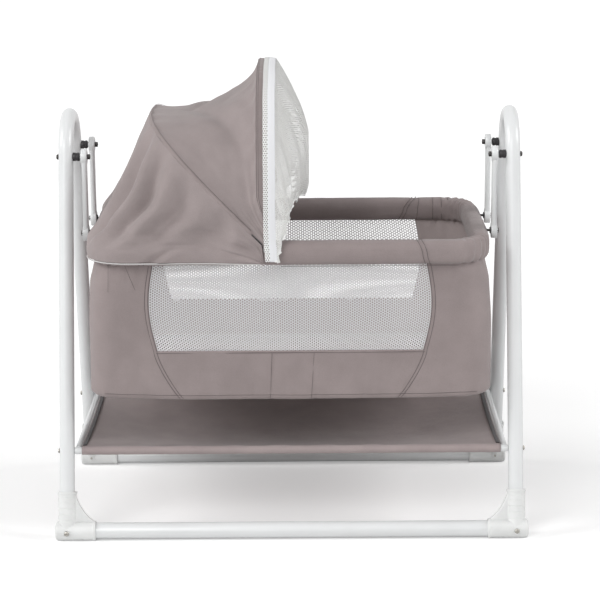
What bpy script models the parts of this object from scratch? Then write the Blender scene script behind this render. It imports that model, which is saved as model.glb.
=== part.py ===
"""Swinging baby cradle on a tubular stand, in metres with +Z up.

The origin is under the middle of the stand, on the floor. +X runs along the
cradle away from the hood and -Y is the long front side.
"""

import math

import bmesh
import bpy
from mathutils import Matrix, Vector

# Fits
FIT = 0.0003
OVERRUN = 0.006
MERGE = 0.00001

# Facets round each kind of round piece
BARREL_SIDES = 16
SOCKET_SIDES = 12
SPACE_SIDES = 12
BOLT_SIDES = 8
HOLE_SIDES = 8
EYE_SIDES = 12
SMALL_SIDES = 10
SLEEVE_SIDES = 8
LEG_RESOLUTION = 5
BASE_RESOLUTION = 6
THIN_RESOLUTION = 2

# Stand: corner joints and base tubes
STAND_LENGTH = 1.100
STAND_TRACK = 0.610
BARREL_DIA = 0.045
BARREL_LENGTH = 0.094
BARREL_DOME = 0.004
BARREL_EDGE = 0.003
FOOT_FLAT = 0.001
FLANGE_WIDTH = 0.005
FLANGE_PROUD = 0.0012
SOCKET_DIA = 0.043
SOCKET_REACH = 0.091
SOCKET_LIP = 0.0065
SOCKET_LIP_PROUD = 0.0013
RIB_COUNT = 5
RIB_PITCH = 0.0134
RIB_WIDTH = 0.0024
RIB_PROUD = 0.0007
WEB_THICKNESS = 0.016
WEB_RADIUS = 0.110
WEB_STEPS = 4
LEG_INSET = 0.0275
LEG_FOOT = 0.008
TUBE_STOP_WALL = 0.003
BOSS_DIA = 0.017
BOSS_PROUD = 0.0012
BASE_TUBE_DIA = 0.038
BASE_TUBE_WALL = 0.0015

# Stand: end frames
LEG_DIA = 0.035
LEG_WALL = 0.0015
ARCH_RADIUS = 0.0975
ARCH_CENTRE_DROP = 0.014
ARCH_STEPS = 10

# Fasteners
CORNER_BOLT_DIA = 0.005
CORNER_HEAD_DIA = 0.011
CORNER_HEAD_HEIGHT = 0.0028
PIVOT_BOLT_DIA = 0.006
PIVOT_HEAD_DIA = 0.012
PIVOT_HEAD_HEIGHT = 0.0045
PIVOT_NUT_DIA = 0.0115
PIVOT_NUT_HEIGHT = 0.0075
RIM_NUT_HEIGHT = 0.005
RIM_NUT_CLEARANCE = 0.0012
SHELF_SCREW_DIA = 0.005
SHELF_HEAD_DIA = 0.010
SHELF_HEAD_HEIGHT = 0.0035
SHELF_INSERT_LENGTH = 0.015
SHELF_INSERT_SHARE = 0.92
HEAD_DOME_SHARE = 0.55
HEAD_FLAT_SHARE = 0.60

# Hanger arms and pivots
PIVOT_HEIGHT = 0.869
LINK_LENGTH = 0.181
SPACER_DIA = 0.020
SPACER_LENGTH = 0.0145
SPACER_EDGE = 0.001
BUSH_DIA = 0.012
BUSH_PROUD = 0.003
EYE_DIA = 0.038
EYE_THICKNESS = 0.014
EYE_EDGE = 0.0015
ARM_WIDTH = 0.030
ARM_THICKNESS = 0.012
ARM_EDGE_STEPS = 3
RIM_WASHER_DIA = 0.016
RIM_WASHER_THICKNESS = 0.0025

# Shelf
SHELF_HEIGHT_SHARE = 0.4027
SHELF_TUBE_DIA = 0.016
SHELF_TUBE_WALL = 0.0012
SHELF_SIDE_INSET = 0.0085
SHELF_CLOTH = 0.002
SHELF_CLOTH_GAP = 0.001
SHELF_SAG = 0.045
SHELF_FOLD = 0.003
SHELF_FOLD_COUNT = 5
SHELF_COLUMNS = 8
SHELF_ROWS = 6
SHELF_WRAP_STEPS = 5
SHELF_WRAP_START_DEG = -40.0

# Rim and padded cover
RIM_END_CLEARANCE = 0.0036
RIM_HALF_WIDTH = 0.277
RIM_CORNER = 0.075
RIM_TUBE_DIA = 0.020
RIM_TUBE_WALL = 0.0015
CORNER_STEPS = 5
PAD_RADIUS = 0.0265
PAD_DROP = 0.008
PAD_BORE_CLEARANCE = 0.0008
PAD_SLOT = 0.0056
PAD_STEPS = 8
PAD_BORE_STEPS = 5

# Fabric body
BODY_CLOTH = 0.004
BODY_TOP_DROP = 0.001
BODY_DEPTH = 0.352
BODY_BULGE = 0.026
BODY_LEVELS = 4
BODY_BULGE_SHARE = 0.80
BODY_EDGE_RADIUS = 0.020
BODY_EDGE_STEPS = 3
BODY_BOTTOM_CORNER = 0.060
WINDOW_BOTTOM_DROP = 0.235
WINDOW_TOP_DROP = 0.042
WINDOW_TOP_SHARE = 0.718
WINDOW_BOTTOM_SHARE = 0.707
WINDOW_BULGE = 0.012
WINDOW_STEPS = 5
NET_THICKNESS = 0.0016
NET_BORDER = 0.006
NET_STRAND = 0.004
NET_COLUMNS = 9
NET_ROWS = 3

# Base board and mattress
BOARD_MARGIN = 0.018
BOARD_THICKNESS = 0.006
BOARD_CORNER = 0.045
MATTRESS_MARGIN = 0.014
MATTRESS_THICKNESS = 0.027
MATTRESS_CROWN = 0.006
MATTRESS_CORNER = 0.050
MATTRESS_COLUMNS = 8
MATTRESS_ROWS = 6
SIDE_PULL = 0.006

# Hood
HOOD_PIVOT_OFFSET = 0.050
HOOD_HEIGHT_SHARE = 0.8795
HOOD_ROUND_SHARE = 1 / 3
MID_BOW_DEG = 135.0
FRONT_BOW_DEG = 90.0
BOW_DIA = 0.005
BOW_STEPS = 20
BOW_EYE_DIA = 0.018
BOW_GAP = 0.0006
HOOD_PIN_DIA = 0.005
HOOD_PIN_HEAD_DIA = 0.014
HOOD_PIN_HEAD = 0.0025
HOOD_CLOTH = 0.002
HOOD_CLOTH_GAP = 0.0005
MID_SLEEVE_RADIUS = 0.0055
MID_SLEEVE_SKIP_COUNT = 3
FRONT_SLEEVE_WIDTH = 0.030
FRONT_SLEEVE_DEPTH = 0.011
FRONT_SLEEVE_SKIP_COUNT = 2
TAPE_WIDTH = 0.017
TAPE_THICKNESS = 0.0012
PANEL_SKIP_COUNT = 1
PANEL_ROWS = 5
FRONT_PANEL_SAG = 0.030
REAR_PANEL_SAG = 0.008
HEM_START = 0.045
HEM_END_STEPS = 3
HEM_DROP = 0.031
SHOULDER_RISE = 0.010
BOLT_HOLE_MARGIN = 0.003
PIPING_DIA = 0.004
CURTAIN_THICKNESS = 0.0016
CURTAIN_HEM_RISE = 0.090
CURTAIN_SIDE_RISE = 0.036
CURTAIN_BULGE = 0.042
CURTAIN_REACH = 0.058
CURTAIN_GATHER_SHARE = 0.965
CURTAIN_FOLD = 0.006
CURTAIN_FOLD_COUNT = 7
CURTAIN_ROWS = 5
CURTAIN_STEPS = 24
CURTAIN_EDGE_POWER_SHARE = 3

# Derived places
HALF_LENGTH = STAND_LENGTH / 2
HALF_TRACK = STAND_TRACK / 2
ARCH_CENTRE_HEIGHT = PIVOT_HEIGHT - ARCH_CENTRE_DROP
JOINT_Z = BARREL_DIA / 2 - FOOT_FLAT
LEG_X = HALF_LENGTH - LEG_INSET
LEG_FACE = LEG_X - LEG_DIA / 2
ARCH_RISE = ARCH_CENTRE_HEIGHT - JOINT_Z
LEAN = math.atan2(HALF_TRACK, ARCH_RISE) - math.asin(
    ARCH_RADIUS / math.hypot(HALF_TRACK, ARCH_RISE)
)
BASE_TUBE_END = LEG_FACE - TUBE_STOP_WALL
PIVOT_Y = HALF_TRACK - (PIVOT_HEIGHT - JOINT_Z) * math.tan(LEAN)
RIM_Z = PIVOT_HEIGHT - LINK_LENGTH
EYE_OUTER = LEG_FACE - FIT - SPACER_LENGTH - FIT - BUSH_PROUD
EYE_INNER = EYE_OUTER - EYE_THICKNESS
ARM_X = (EYE_OUTER + EYE_INNER) / 2
RIM_HALF_LENGTH = EYE_INNER - FIT - RIM_WASHER_THICKNESS - RIM_END_CLEARANCE - PAD_RADIUS
PAD_Z = RIM_Z - PAD_DROP
PAD_OUTER_Y = RIM_HALF_WIDTH + PAD_RADIUS
BODY_BOTTOM = RIM_Z - BODY_DEPTH
SOCKET_TOP = JOINT_Z + SOCKET_REACH
SHELF_HEIGHT = SOCKET_TOP + (BODY_BOTTOM - SOCKET_TOP) * SHELF_HEIGHT_SHARE
SHELF_Y = HALF_TRACK - (SHELF_HEIGHT - JOINT_Z) * math.tan(LEAN)
WINDOW_BOTTOM = RIM_Z - WINDOW_BOTTOM_DROP
WINDOW_TOP = RIM_Z - WINDOW_TOP_DROP
WINDOW_HALF_TOP = RIM_HALF_LENGTH * WINDOW_TOP_SHARE
WINDOW_HALF_BOTTOM = RIM_HALF_LENGTH * WINDOW_BOTTOM_SHARE
HOOD_PIVOT_X = -HOOD_PIVOT_OFFSET
HOOD_HEIGHT = RIM_HALF_LENGTH * HOOD_HEIGHT_SHARE
HEM_HEIGHT = RIM_Z - HEM_DROP
SHOULDER_HEIGHT = RIM_Z + SHOULDER_RISE
CURTAIN_HEM_HEIGHT = RIM_Z + CURTAIN_HEM_RISE
CURTAIN_SIDE_HEIGHT = RIM_Z + CURTAIN_SIDE_RISE
CLOTH_OFFSET = PAD_RADIUS + HOOD_CLOTH_GAP + HOOD_CLOTH / 2
MID_BOW_Y = PAD_OUTER_Y + HOOD_CLOTH_GAP + HOOD_CLOTH + BOW_GAP + BOW_DIA / 2
FRONT_BOW_Y = MID_BOW_Y + BOW_DIA + BOW_GAP
MID_ANGLE = math.radians(MID_BOW_DEG)
FRONT_ANGLE = math.radians(FRONT_BOW_DEG)

SIDES = {"left": -1, "right": 1}
ROWS = {"front": -1, "rear": 1}


def clear_scene():
    """Remove every object of the scene."""
    for obj in list(bpy.data.objects):
        bpy.data.objects.remove(obj, do_unlink=True)


def make_collection(name):
    """Link a new collection to the scene."""
    collection = bpy.data.collections.new(name)
    bpy.context.scene.collection.children.link(collection)
    return collection


def make_material(name, colour, roughness, metallic=0.0):
    """Principled material with one colour."""
    material = bpy.data.materials.new(name)
    material.use_nodes = True
    shader = material.node_tree.nodes["Principled BSDF"]
    shader.inputs["Base Color"].default_value = (*colour, 1.0)
    shader.inputs["Roughness"].default_value = roughness
    shader.inputs["Metallic"].default_value = metallic
    material.diffuse_color = (*colour, 1.0)
    return material


clear_scene()
PARTS = make_collection("baby_cradle")
CUTTERS = make_collection("cutters")
WHITE_PAINT = (0.80, 0.81, 0.80)
WHITE_PLASTIC = (0.78, 0.78, 0.76)
BLACK_PLASTIC = (0.015, 0.013, 0.015)
ZINC = (0.42, 0.40, 0.37)
TAUPE = (0.31, 0.27, 0.265)
DARK_TAUPE = (0.16, 0.13, 0.13)
TAPE_WHITE = (0.85, 0.85, 0.87)
NET_WHITE = (0.74, 0.74, 0.72)
BOARD_BROWN = (0.45, 0.33, 0.22)
SHEET_WHITE = (0.70, 0.67, 0.65)


def dressed(obj, colour, roughness, metallic=0.0):
    """Give the object its own material and return it."""
    obj.data.materials.clear()
    obj.data.materials.append(make_material(obj.name, colour, roughness, metallic))
    return obj


def as_cutter(obj):
    """Keep a helper out of the model."""
    for holder in list(obj.users_collection):
        holder.objects.unlink(obj)
    CUTTERS.objects.link(obj)
    obj.hide_render = True
    obj.display_type = "WIRE"
    return obj


def mesh_object(name, bm, origin=(0, 0, 0)):
    """Object from a bmesh in world places, with its own origin."""
    mesh = bpy.data.meshes.new(name)
    bm.normal_update()
    bm.to_mesh(mesh)
    bm.free()
    mesh.transform(Matrix.Translation(-Vector(origin)))
    obj = bpy.data.objects.new(name, mesh)
    obj.location = origin
    PARTS.objects.link(obj)
    return obj


def smooth(obj, angle=math.radians(38)):
    """Shade round faces smooth and keep the sharp edges."""
    obj.data.shade_smooth()
    obj.data.set_sharp_from_angle(angle=angle)
    return obj


def turned(name, profile, origin, direction, steps):
    """Body of revolution round the direction through the origin.

    The profile holds (radius, height) points down the outer side.
    """
    bm = bmesh.new()
    points = [bm.verts.new((radius, 0, height)) for radius, height in profile]
    for start, end in zip(points, points[1:]):
        bm.edges.new((start, end))
    if profile[0][0] > 0:
        bm.edges.new((points[-1], points[0]))
    obj = mesh_object(name, bm)
    obj.rotation_mode = "QUATERNION"
    obj.rotation_quaternion = Vector(direction).to_track_quat("Z", "Y")
    obj.location = origin
    screw = obj.modifiers.new("Turn", "SCREW")
    screw.axis = "Z"
    screw.steps = steps
    screw.render_steps = steps
    screw.use_merge_vertices = True
    screw.merge_threshold = MERGE
    screw.use_smooth_shade = False
    return obj


def rod(name, start, end, radius, sides):
    """Plain cylinder between two points."""
    start, end = Vector(start), Vector(end)
    axis = end - start
    bm = bmesh.new()
    bmesh.ops.create_cone(
        bm, cap_ends=True, segments=sides, radius1=radius, radius2=radius,
        depth=axis.length,
    )
    turn = axis.to_track_quat("Z", "Y").to_matrix().to_4x4()
    bm.transform(Matrix.Translation((start + end) / 2) @ turn)
    return mesh_object(name, bm)


def space_rod(name, start, end, radius, sides):
    """Cutter whose flats clear a round piece of the radius by the fit."""
    clear = (radius + FIT) / math.cos(math.pi / sides)
    return as_cutter(rod(name, start, end, clear, sides))


def block(name, low, high):
    """Box between two corners."""
    low, high = Vector(low), Vector(high)
    size = high - low
    bm = bmesh.new()
    bmesh.ops.create_cube(bm, size=1)
    bm.transform(Matrix.Translation((low + high) / 2) @ Matrix.Diagonal((*size, 1)))
    return mesh_object(name, bm)


def boolean(obj, other, operation="DIFFERENCE"):
    """Cut or join with a helper, which stays out of the model."""
    modifier = obj.modifiers.new(other.name, "BOOLEAN")
    modifier.operation = operation
    modifier.solver = "EXACT"
    modifier.object = other
    if other.name not in CUTTERS.objects:
        as_cutter(other)
    return obj


def solidify(obj, thickness, offset=0.0):
    """Give an open surface its wall."""
    wall = obj.modifiers.new("Wall", "SOLIDIFY")
    wall.thickness = thickness
    wall.offset = offset
    wall.use_even_offset = True
    return obj


def curve_tube(name, points, radius, resolution, cyclic=False, wall=None):
    """Tube or rod along the points; a wall makes it hollow with open ends."""
    curve = bpy.data.curves.new(name, "CURVE")
    curve.dimensions = "3D"
    curve.bevel_depth = radius
    curve.bevel_resolution = resolution
    curve.use_fill_caps = not cyclic and wall is None
    spline = curve.splines.new("POLY")
    spline.points.add(len(points) - 1)
    for point, place in zip(spline.points, points):
        point.co = (*place, 1.0)
    spline.use_cyclic_u = cyclic
    guide = bpy.data.objects.new(name + "_path", curve)
    PARTS.objects.link(guide)
    graph = bpy.context.evaluated_depsgraph_get()
    mesh = bpy.data.meshes.new_from_object(guide.evaluated_get(graph))
    bm = bmesh.new()
    bm.from_mesh(mesh)
    bmesh.ops.remove_doubles(bm, verts=bm.verts, dist=MERGE)
    bmesh.ops.recalc_face_normals(bm, faces=bm.faces)
    bm.to_mesh(mesh)
    bm.free()
    mesh.name = name
    obj = bpy.data.objects.new(name, mesh)
    obj.matrix_world = guide.matrix_world
    PARTS.objects.link(obj)
    bpy.data.objects.remove(guide, do_unlink=True)
    bpy.data.curves.remove(curve)
    if wall is not None:
        solidify(obj, wall, -1.0)
    return obj


def flat_curve(name, outlines, thickness, matrix):
    """Plate from closed outlines in its own plane; inner ones are holes."""
    curve = bpy.data.curves.new(name, "CURVE")
    curve.dimensions = "2D"
    curve.fill_mode = "BOTH"
    curve.extrude = thickness / 2
    for outline in outlines:
        spline = curve.splines.new("POLY")
        spline.points.add(len(outline) - 1)
        for point, (u, v) in zip(spline.points, outline):
            point.co = (u, v, 0.0, 1.0)
        spline.use_cyclic_u = True
    obj = bpy.data.objects.new(name, curve)
    obj.matrix_world = matrix
    PARTS.objects.link(obj)
    return obj


def loft(rings, ring_closed, path_closed=False, caps=False):
    """Mesh through rows of points; each row has the same count."""
    bm = bmesh.new()
    rows = [[bm.verts.new(point) for point in ring] for ring in rings]
    pairs = list(zip(rows, rows[1:]))
    if path_closed:
        pairs.append((rows[-1], rows[0]))
    for first, second in pairs:
        count = len(first)
        for i in range(count if ring_closed else count - 1):
            j = (i + 1) % count
            bm.faces.new((first[i], first[j], second[j], second[i]))
    if caps:
        bm.faces.new(rows[0])
        bm.faces.new(rows[-1])
    bmesh.ops.recalc_face_normals(bm, faces=bm.faces)
    return bm


def rounded_rectangle(half_length, half_width, corner, steps=CORNER_STEPS):
    """Points round a rounded rectangle, with the outward normal at each."""
    points = []
    for quadrant, (sx, sy) in enumerate(((1, 1), (-1, 1), (-1, -1), (1, -1))):
        centre = Vector((sx * (half_length - corner), sy * (half_width - corner)))
        for i in range(steps + 1):
            angle = math.radians(90) * (quadrant + i / steps)
            normal = Vector((math.cos(angle), math.sin(angle)))
            points.append((centre + normal * corner, normal))
    return points


def parent_to(empty, objects):
    """Carry the objects on an empty and keep their places."""
    for obj in objects:
        obj.parent = empty
        obj.matrix_parent_inverse = Matrix.Translation(-empty.location)


def carrier(name, place):
    """Empty on a joint's axis."""
    empty = bpy.data.objects.new(name, None)
    empty.location = place
    PARTS.objects.link(empty)
    return empty


# Stand
def leg_point(sx, sy, height):
    """Point of a leg's centre line at a height."""
    inward = (height - JOINT_Z) * math.tan(LEAN)
    return Vector((sx * LEG_X, sy * (HALF_TRACK - inward), height))


def leg_direction(sy):
    """Upward direction of a leg."""
    return Vector((0, -sy * math.sin(LEAN), math.cos(LEAN)))


def frame_path(sx):
    """Centre line of an end frame, from the front foot to the rear foot."""
    front = leg_point(sx, -1, JOINT_Z) - leg_direction(-1) * LEG_FOOT
    rear = leg_point(sx, 1, JOINT_Z) - leg_direction(1) * LEG_FOOT
    points = [front]
    sweep = math.pi - 2 * LEAN
    for i in range(ARCH_STEPS + 1):
        angle = math.pi - LEAN - sweep * i / ARCH_STEPS
        across = ARCH_RADIUS * math.cos(angle)
        rise = ARCH_RADIUS * math.sin(angle)
        points.append(Vector((sx * LEG_X, across, ARCH_CENTRE_HEIGHT + rise)))
    points.append(rear)
    return points


def leg_cutter(side, row):
    """Space that a leg takes in what fits round it."""
    sx, sy = SIDES[side], ROWS[row]
    start = leg_point(sx, sy, JOINT_Z) - leg_direction(sy) * (LEG_FOOT + FIT)
    end = leg_point(sx, sy, PIVOT_HEIGHT + SPACER_DIA)
    return space_rod(f"leg_space_{row}_{side}", start, end, LEG_DIA / 2, SPACE_SIDES)


def end_frame(side, leg_holes):
    """Bent tube with its bolt holes."""
    obj = curve_tube(
        f"end_frame_{side}", frame_path(SIDES[side]), LEG_DIA / 2, LEG_RESOLUTION, wall=LEG_WALL
    )
    smooth(obj)
    for hole in leg_holes:
        boolean(obj, hole)
    return dressed(obj, WHITE_PAINT, 0.32)


def base_tube(row):
    """Floor tube between two corner joints."""
    y = ROWS[row] * HALF_TRACK
    points = [Vector((sx * BASE_TUBE_END, y, JOINT_Z)) for sx in (-1, 1)]
    obj = curve_tube(
        f"base_tube_{row}", points, BASE_TUBE_DIA / 2, BASE_RESOLUTION, wall=BASE_TUBE_WALL
    )
    return dressed(smooth(obj), WHITE_PAINT, 0.32)


def barrel_profile():
    """Outline of a joint's barrel, from the domed end to the flange."""
    radius = BARREL_DIA / 2
    tip = LEG_INSET
    flange_end = LEG_INSET - BARREL_LENGTH
    proud = radius + FLANGE_PROUD
    return [
        (0, tip),
        (radius / 2, tip - BARREL_DOME / 4),
        (radius - BARREL_EDGE, tip - BARREL_DOME),
        (radius, tip - BARREL_DOME - BARREL_EDGE),
        (radius, flange_end + FLANGE_WIDTH + FLANGE_PROUD),
        (proud, flange_end + FLANGE_WIDTH),
        (proud, flange_end + FLANGE_PROUD),
        (radius, flange_end),
        (0, flange_end),
    ]


def socket_profile():
    """Outline of the leg socket with its lip and grip ribs."""
    radius = SOCKET_DIA / 2
    lip = radius + SOCKET_LIP_PROUD
    lip_end = SOCKET_REACH - SOCKET_LIP
    points = [
        (0, SOCKET_REACH),
        (radius, SOCKET_REACH),
        (lip, SOCKET_REACH - SOCKET_LIP_PROUD),
        (lip, lip_end + SOCKET_LIP_PROUD),
        (radius, lip_end),
    ]
    for i in range(RIB_COUNT - 1):
        middle = lip_end - (i + 1) * RIB_PITCH
        points.append((radius, middle + RIB_WIDTH / 2))
        points.append((radius + RIB_PROUD, middle))
        points.append((radius, middle - RIB_WIDTH / 2))
    points.append((radius, 0))
    points.append((0, 0))
    return points


def gusset_web(name, side, row):
    """Concave web between the socket and the barrel, in the leg's plane."""
    sx, sy = SIDES[side], ROWS[row]
    high = Vector((SOCKET_DIA / 2, SOCKET_REACH - SOCKET_LIP))
    low = Vector((BARREL_LENGTH - LEG_INSET - FLANGE_WIDTH, BARREL_DIA / 2))
    chord = low - high
    middle = (high + low) / 2
    across = Vector((-chord.y, chord.x)).normalized()
    reach = math.sqrt(WEB_RADIUS ** 2 - (chord.length / 2) ** 2)
    centre = middle + across * reach
    start = math.atan2(high.y - centre.y, high.x - centre.x)
    end = math.atan2(low.y - centre.y, low.x - centre.x)
    turn = (end - start + math.pi) % (2 * math.pi) - math.pi
    outline = [Vector((0, 0)), Vector((0, high.y))]
    for i in range(WEB_STEPS + 1):
        angle = start + turn * i / WEB_STEPS
        spoke = Vector((math.cos(angle), math.sin(angle)))
        outline.append(centre + spoke * WEB_RADIUS)
    outline.append(Vector((low.x, 0)))
    base = leg_point(sx, sy, JOINT_Z)
    up = leg_direction(sy)
    inward = Vector((-sx, 0, 0))
    normal = inward.cross(up).normalized()
    rings = []
    for half in (-WEB_THICKNESS / 2, WEB_THICKNESS / 2):
        rings.append([base + inward * u + up * v + normal * half for u, v in outline])
    bm = loft(rings, ring_closed=True, caps=True)
    return as_cutter(mesh_object(name, bm))


def corner_joint(side, row, leg_space, tube_space, bolt_hole):
    """Moulded joint that holds a leg and a base tube."""
    sx, sy = SIDES[side], ROWS[row]
    base = leg_point(sx, sy, JOINT_Z)
    label = f"{row}_{side}"
    joint = turned(f"corner_joint_{label}", barrel_profile(), base, (sx, 0, 0), BARREL_SIDES)
    socket = turned(f"socket_{label}", socket_profile(), base, leg_direction(sy), SOCKET_SIDES)
    boolean(joint, as_cutter(socket), "UNION")
    boolean(joint, gusset_web(f"web_{label}", side, row), "UNION")
    reach = Vector((0, BARREL_DIA / 2 + BOSS_PROUD, 0))
    boss = rod(f"boss_{label}", base - reach, base + reach, BOSS_DIA / 2, SMALL_SIDES)
    boolean(joint, boss, "UNION")
    boolean(joint, leg_space)
    boolean(joint, tube_space)
    boolean(joint, bolt_hole)
    reach_x = BARREL_LENGTH + OVERRUN
    floor_low = (base.x - reach_x, base.y - BARREL_DIA, -BARREL_DIA)
    floor_high = (base.x + reach_x, base.y + BARREL_DIA, 0)
    boolean(joint, block(f"floor_{label}", floor_low, floor_high))
    return dressed(joint, WHITE_PLASTIC, 0.45)


def through_bolt(name, head, tail, shank_dia, head_dia, head_height, nut):
    """Bolt from the seat of its head to the seat of its nut."""
    head, tail = Vector(head), Vector(tail)
    axis = head - tail
    shank = shank_dia / 2
    radius = head_dia / 2
    profile = [
        (0, head_height),
        (radius * HEAD_FLAT_SHARE, head_height),
        (radius, head_height * HEAD_DOME_SHARE),
        (radius, 0),
        (shank, 0),
        (shank, -axis.length),
    ]
    if nut is not None:
        nut_dia, nut_height = nut
        profile.append((nut_dia / 2, -axis.length))
        profile.append((nut_dia / 2, -axis.length - nut_height))
    profile.append((0, profile[-1][1]))
    obj = turned(name, profile, head, axis.normalized(), BOLT_SIDES)
    return dressed(obj, ZINC, 0.35, 1.0)


def hole_cutter(name, start, end, bolt_dia):
    """Clearance hole for a bolt."""
    return space_rod(name, start, end, bolt_dia / 2, HOLE_SIDES)


def corner_bolt(side, row):
    """Bolt across a corner joint, with its head on the front side."""
    base = leg_point(SIDES[side], ROWS[row], JOINT_Z)
    reach = Vector((0, BARREL_DIA / 2 + BOSS_PROUD + FIT, 0))
    nut = (CORNER_HEAD_DIA, CORNER_HEAD_HEIGHT)
    return through_bolt(
        f"corner_bolt_{row}_{side}", base - reach, base + reach,
        CORNER_BOLT_DIA, CORNER_HEAD_DIA, CORNER_HEAD_HEIGHT, nut,
    )


def spacer(side, row, leg_space, pivot_hole):
    """Black spacer with a saddle that fits the leg."""
    sx, sy = SIDES[side], ROWS[row]
    radius = SPACER_DIA / 2
    saddle = LEG_DIA / 2
    profile = [
        (0, saddle),
        (radius, saddle),
        (radius, SPACER_EDGE - SPACER_LENGTH),
        (radius - SPACER_EDGE, -SPACER_LENGTH),
        (0, -SPACER_LENGTH),
    ]
    place = Vector((sx * (LEG_FACE - FIT), sy * PIVOT_Y, PIVOT_HEIGHT))
    obj = turned(f"pivot_spacer_{row}_{side}", profile, place, (sx, 0, 0), EYE_SIDES)
    boolean(obj, leg_space)
    boolean(obj, pivot_hole)
    return dressed(obj, BLACK_PLASTIC, 0.5)


def pivot_bolt(side, row):
    """Bolt through leg, spacer and the upper eye of a hanger arm."""
    sx, sy = SIDES[side], ROWS[row]
    y = sy * PIVOT_Y
    head = (sx * (LEG_X + LEG_DIA / 2 + FIT), y, PIVOT_HEIGHT)
    tail = (sx * (EYE_INNER - FIT), y, PIVOT_HEIGHT)
    return through_bolt(
        f"pivot_bolt_{row}_{side}", head, tail,
        PIVOT_BOLT_DIA, PIVOT_HEAD_DIA, PIVOT_HEAD_HEIGHT,
        (PIVOT_NUT_DIA, PIVOT_NUT_HEIGHT),
    )


def hanger_arm(side, row, pivot_hole, rim_hole):
    """Flat oval bar with an eye at each end."""
    sx, sy = SIDES[side], ROWS[row]
    y = sy * PIVOT_Y
    half = ARM_THICKNESS / 2
    flat = ARM_WIDTH / 2 - half
    section = []
    for end, start in ((1, 0), (-1, 180)):
        for i in range(ARM_EDGE_STEPS + 1):
            angle = math.radians(start + 180 * i / ARM_EDGE_STEPS)
            section.append((half * math.cos(angle), end * flat + half * math.sin(angle)))
    rings = []
    for height in (RIM_Z, PIVOT_HEIGHT):
        rings.append([Vector((sx * ARM_X + u, y + v, height)) for u, v in section])
    bm = loft(rings, ring_closed=True, caps=True)
    arm = mesh_object(f"hanger_arm_{row}_{side}", bm, (sx * ARM_X, y, PIVOT_HEIGHT))
    radius = EYE_DIA / 2
    for label, height, proud in (("upper", PIVOT_HEIGHT, BUSH_PROUD), ("lower", RIM_Z, 0)):
        eye = [(0, proud)] if proud else [(0, 0)]
        if proud:
            eye += [(BUSH_DIA / 2, proud), (BUSH_DIA / 2, 0)]
        eye += [
            (radius - EYE_EDGE, 0),
            (radius, -EYE_EDGE),
            (radius, EYE_EDGE - EYE_THICKNESS),
            (radius - EYE_EDGE, -EYE_THICKNESS),
            (0, -EYE_THICKNESS),
        ]
        place = (sx * EYE_OUTER, y, height)
        disc = turned(f"{label}_eye_{row}_{side}", eye, place, (sx, 0, 0), EYE_SIDES)
        boolean(arm, as_cutter(disc), "UNION")
    boolean(arm, pivot_hole)
    boolean(arm, rim_hole)
    return dressed(arm, WHITE_PAINT, 0.35)


def pivot_hole_cutter(side, row):
    """Bore of an upper pivot, through leg, spacer and arm."""
    sx, sy = SIDES[side], ROWS[row]
    start = (sx * (EYE_INNER - OVERRUN), sy * PIVOT_Y, PIVOT_HEIGHT)
    end = (sx * (HALF_LENGTH + OVERRUN), sy * PIVOT_Y, PIVOT_HEIGHT)
    return hole_cutter(f"pivot_hole_{row}_{side}", start, end, PIVOT_BOLT_DIA)


def rim_hole_cutter(side, row):
    """Bore of a lower pivot, through arm and rim tube."""
    sx, sy = SIDES[side], ROWS[row]
    inner = RIM_HALF_LENGTH - RIM_TUBE_DIA / 2 - OVERRUN
    start = (sx * inner, sy * PIVOT_Y, RIM_Z)
    end = (sx * (EYE_OUTER + OVERRUN), sy * PIVOT_Y, RIM_Z)
    return hole_cutter(f"rim_hole_{row}_{side}", start, end, PIVOT_BOLT_DIA)


def rim_bolt(side, row):
    """Lower pivot bolt, from the arm's outer face to the rim tube."""
    sx, sy = SIDES[side], ROWS[row]
    y = sy * PIVOT_Y
    head = (sx * (EYE_OUTER + FIT), y, RIM_Z)
    tail = (sx * (RIM_HALF_LENGTH - RIM_TUBE_DIA / 2 - FIT), y, RIM_Z)
    return through_bolt(
        f"rim_bolt_{row}_{side}", head, tail,
        PIVOT_BOLT_DIA, PIVOT_HEAD_DIA, PIVOT_HEAD_HEIGHT,
        (PIVOT_NUT_DIA, RIM_NUT_HEIGHT),
    )


def rim_washer(side, row):
    """Black washer between a hanger arm and the padded rim."""
    sx, sy = SIDES[side], ROWS[row]
    outer = RIM_WASHER_DIA / 2
    inner = PIVOT_BOLT_DIA / 2 + FIT
    profile = [
        (inner, 0),
        (outer, 0),
        (outer, -RIM_WASHER_THICKNESS),
        (inner, -RIM_WASHER_THICKNESS),
    ]
    place = (sx * (EYE_INNER - FIT), sy * PIVOT_Y, RIM_Z)
    obj = turned(f"rim_washer_{row}_{side}", profile, place, (sx, 0, 0), SMALL_SIDES)
    return dressed(obj, BLACK_PLASTIC, 0.5)


# Shelf
def shelf_bar(row):
    """Cross bar of the shelf between the two end frames."""
    y = ROWS[row] * SHELF_Y
    reach = LEG_FACE - FIT
    points = [Vector((sx * reach, y, SHELF_HEIGHT)) for sx in (-1, 1)]
    obj = curve_tube(
        f"shelf_bar_{row}", points, SHELF_TUBE_DIA / 2, THIN_RESOLUTION + 1, wall=SHELF_TUBE_WALL
    )
    return dressed(smooth(obj), WHITE_PAINT, 0.32)


def shelf_side_tube(side):
    """Side tube of the shelf between its two bars."""
    x = SIDES[side] * (LEG_FACE - SHELF_SIDE_INSET)
    reach = SHELF_Y - SHELF_TUBE_DIA / 2 - FIT
    points = [Vector((x, sy * reach, SHELF_HEIGHT)) for sy in (-1, 1)]
    obj = curve_tube(
        f"shelf_side_tube_{side}", points, SHELF_TUBE_DIA / 2, THIN_RESOLUTION + 1, wall=SHELF_TUBE_WALL
    )
    return dressed(smooth(obj), WHITE_PAINT, 0.32)


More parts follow.
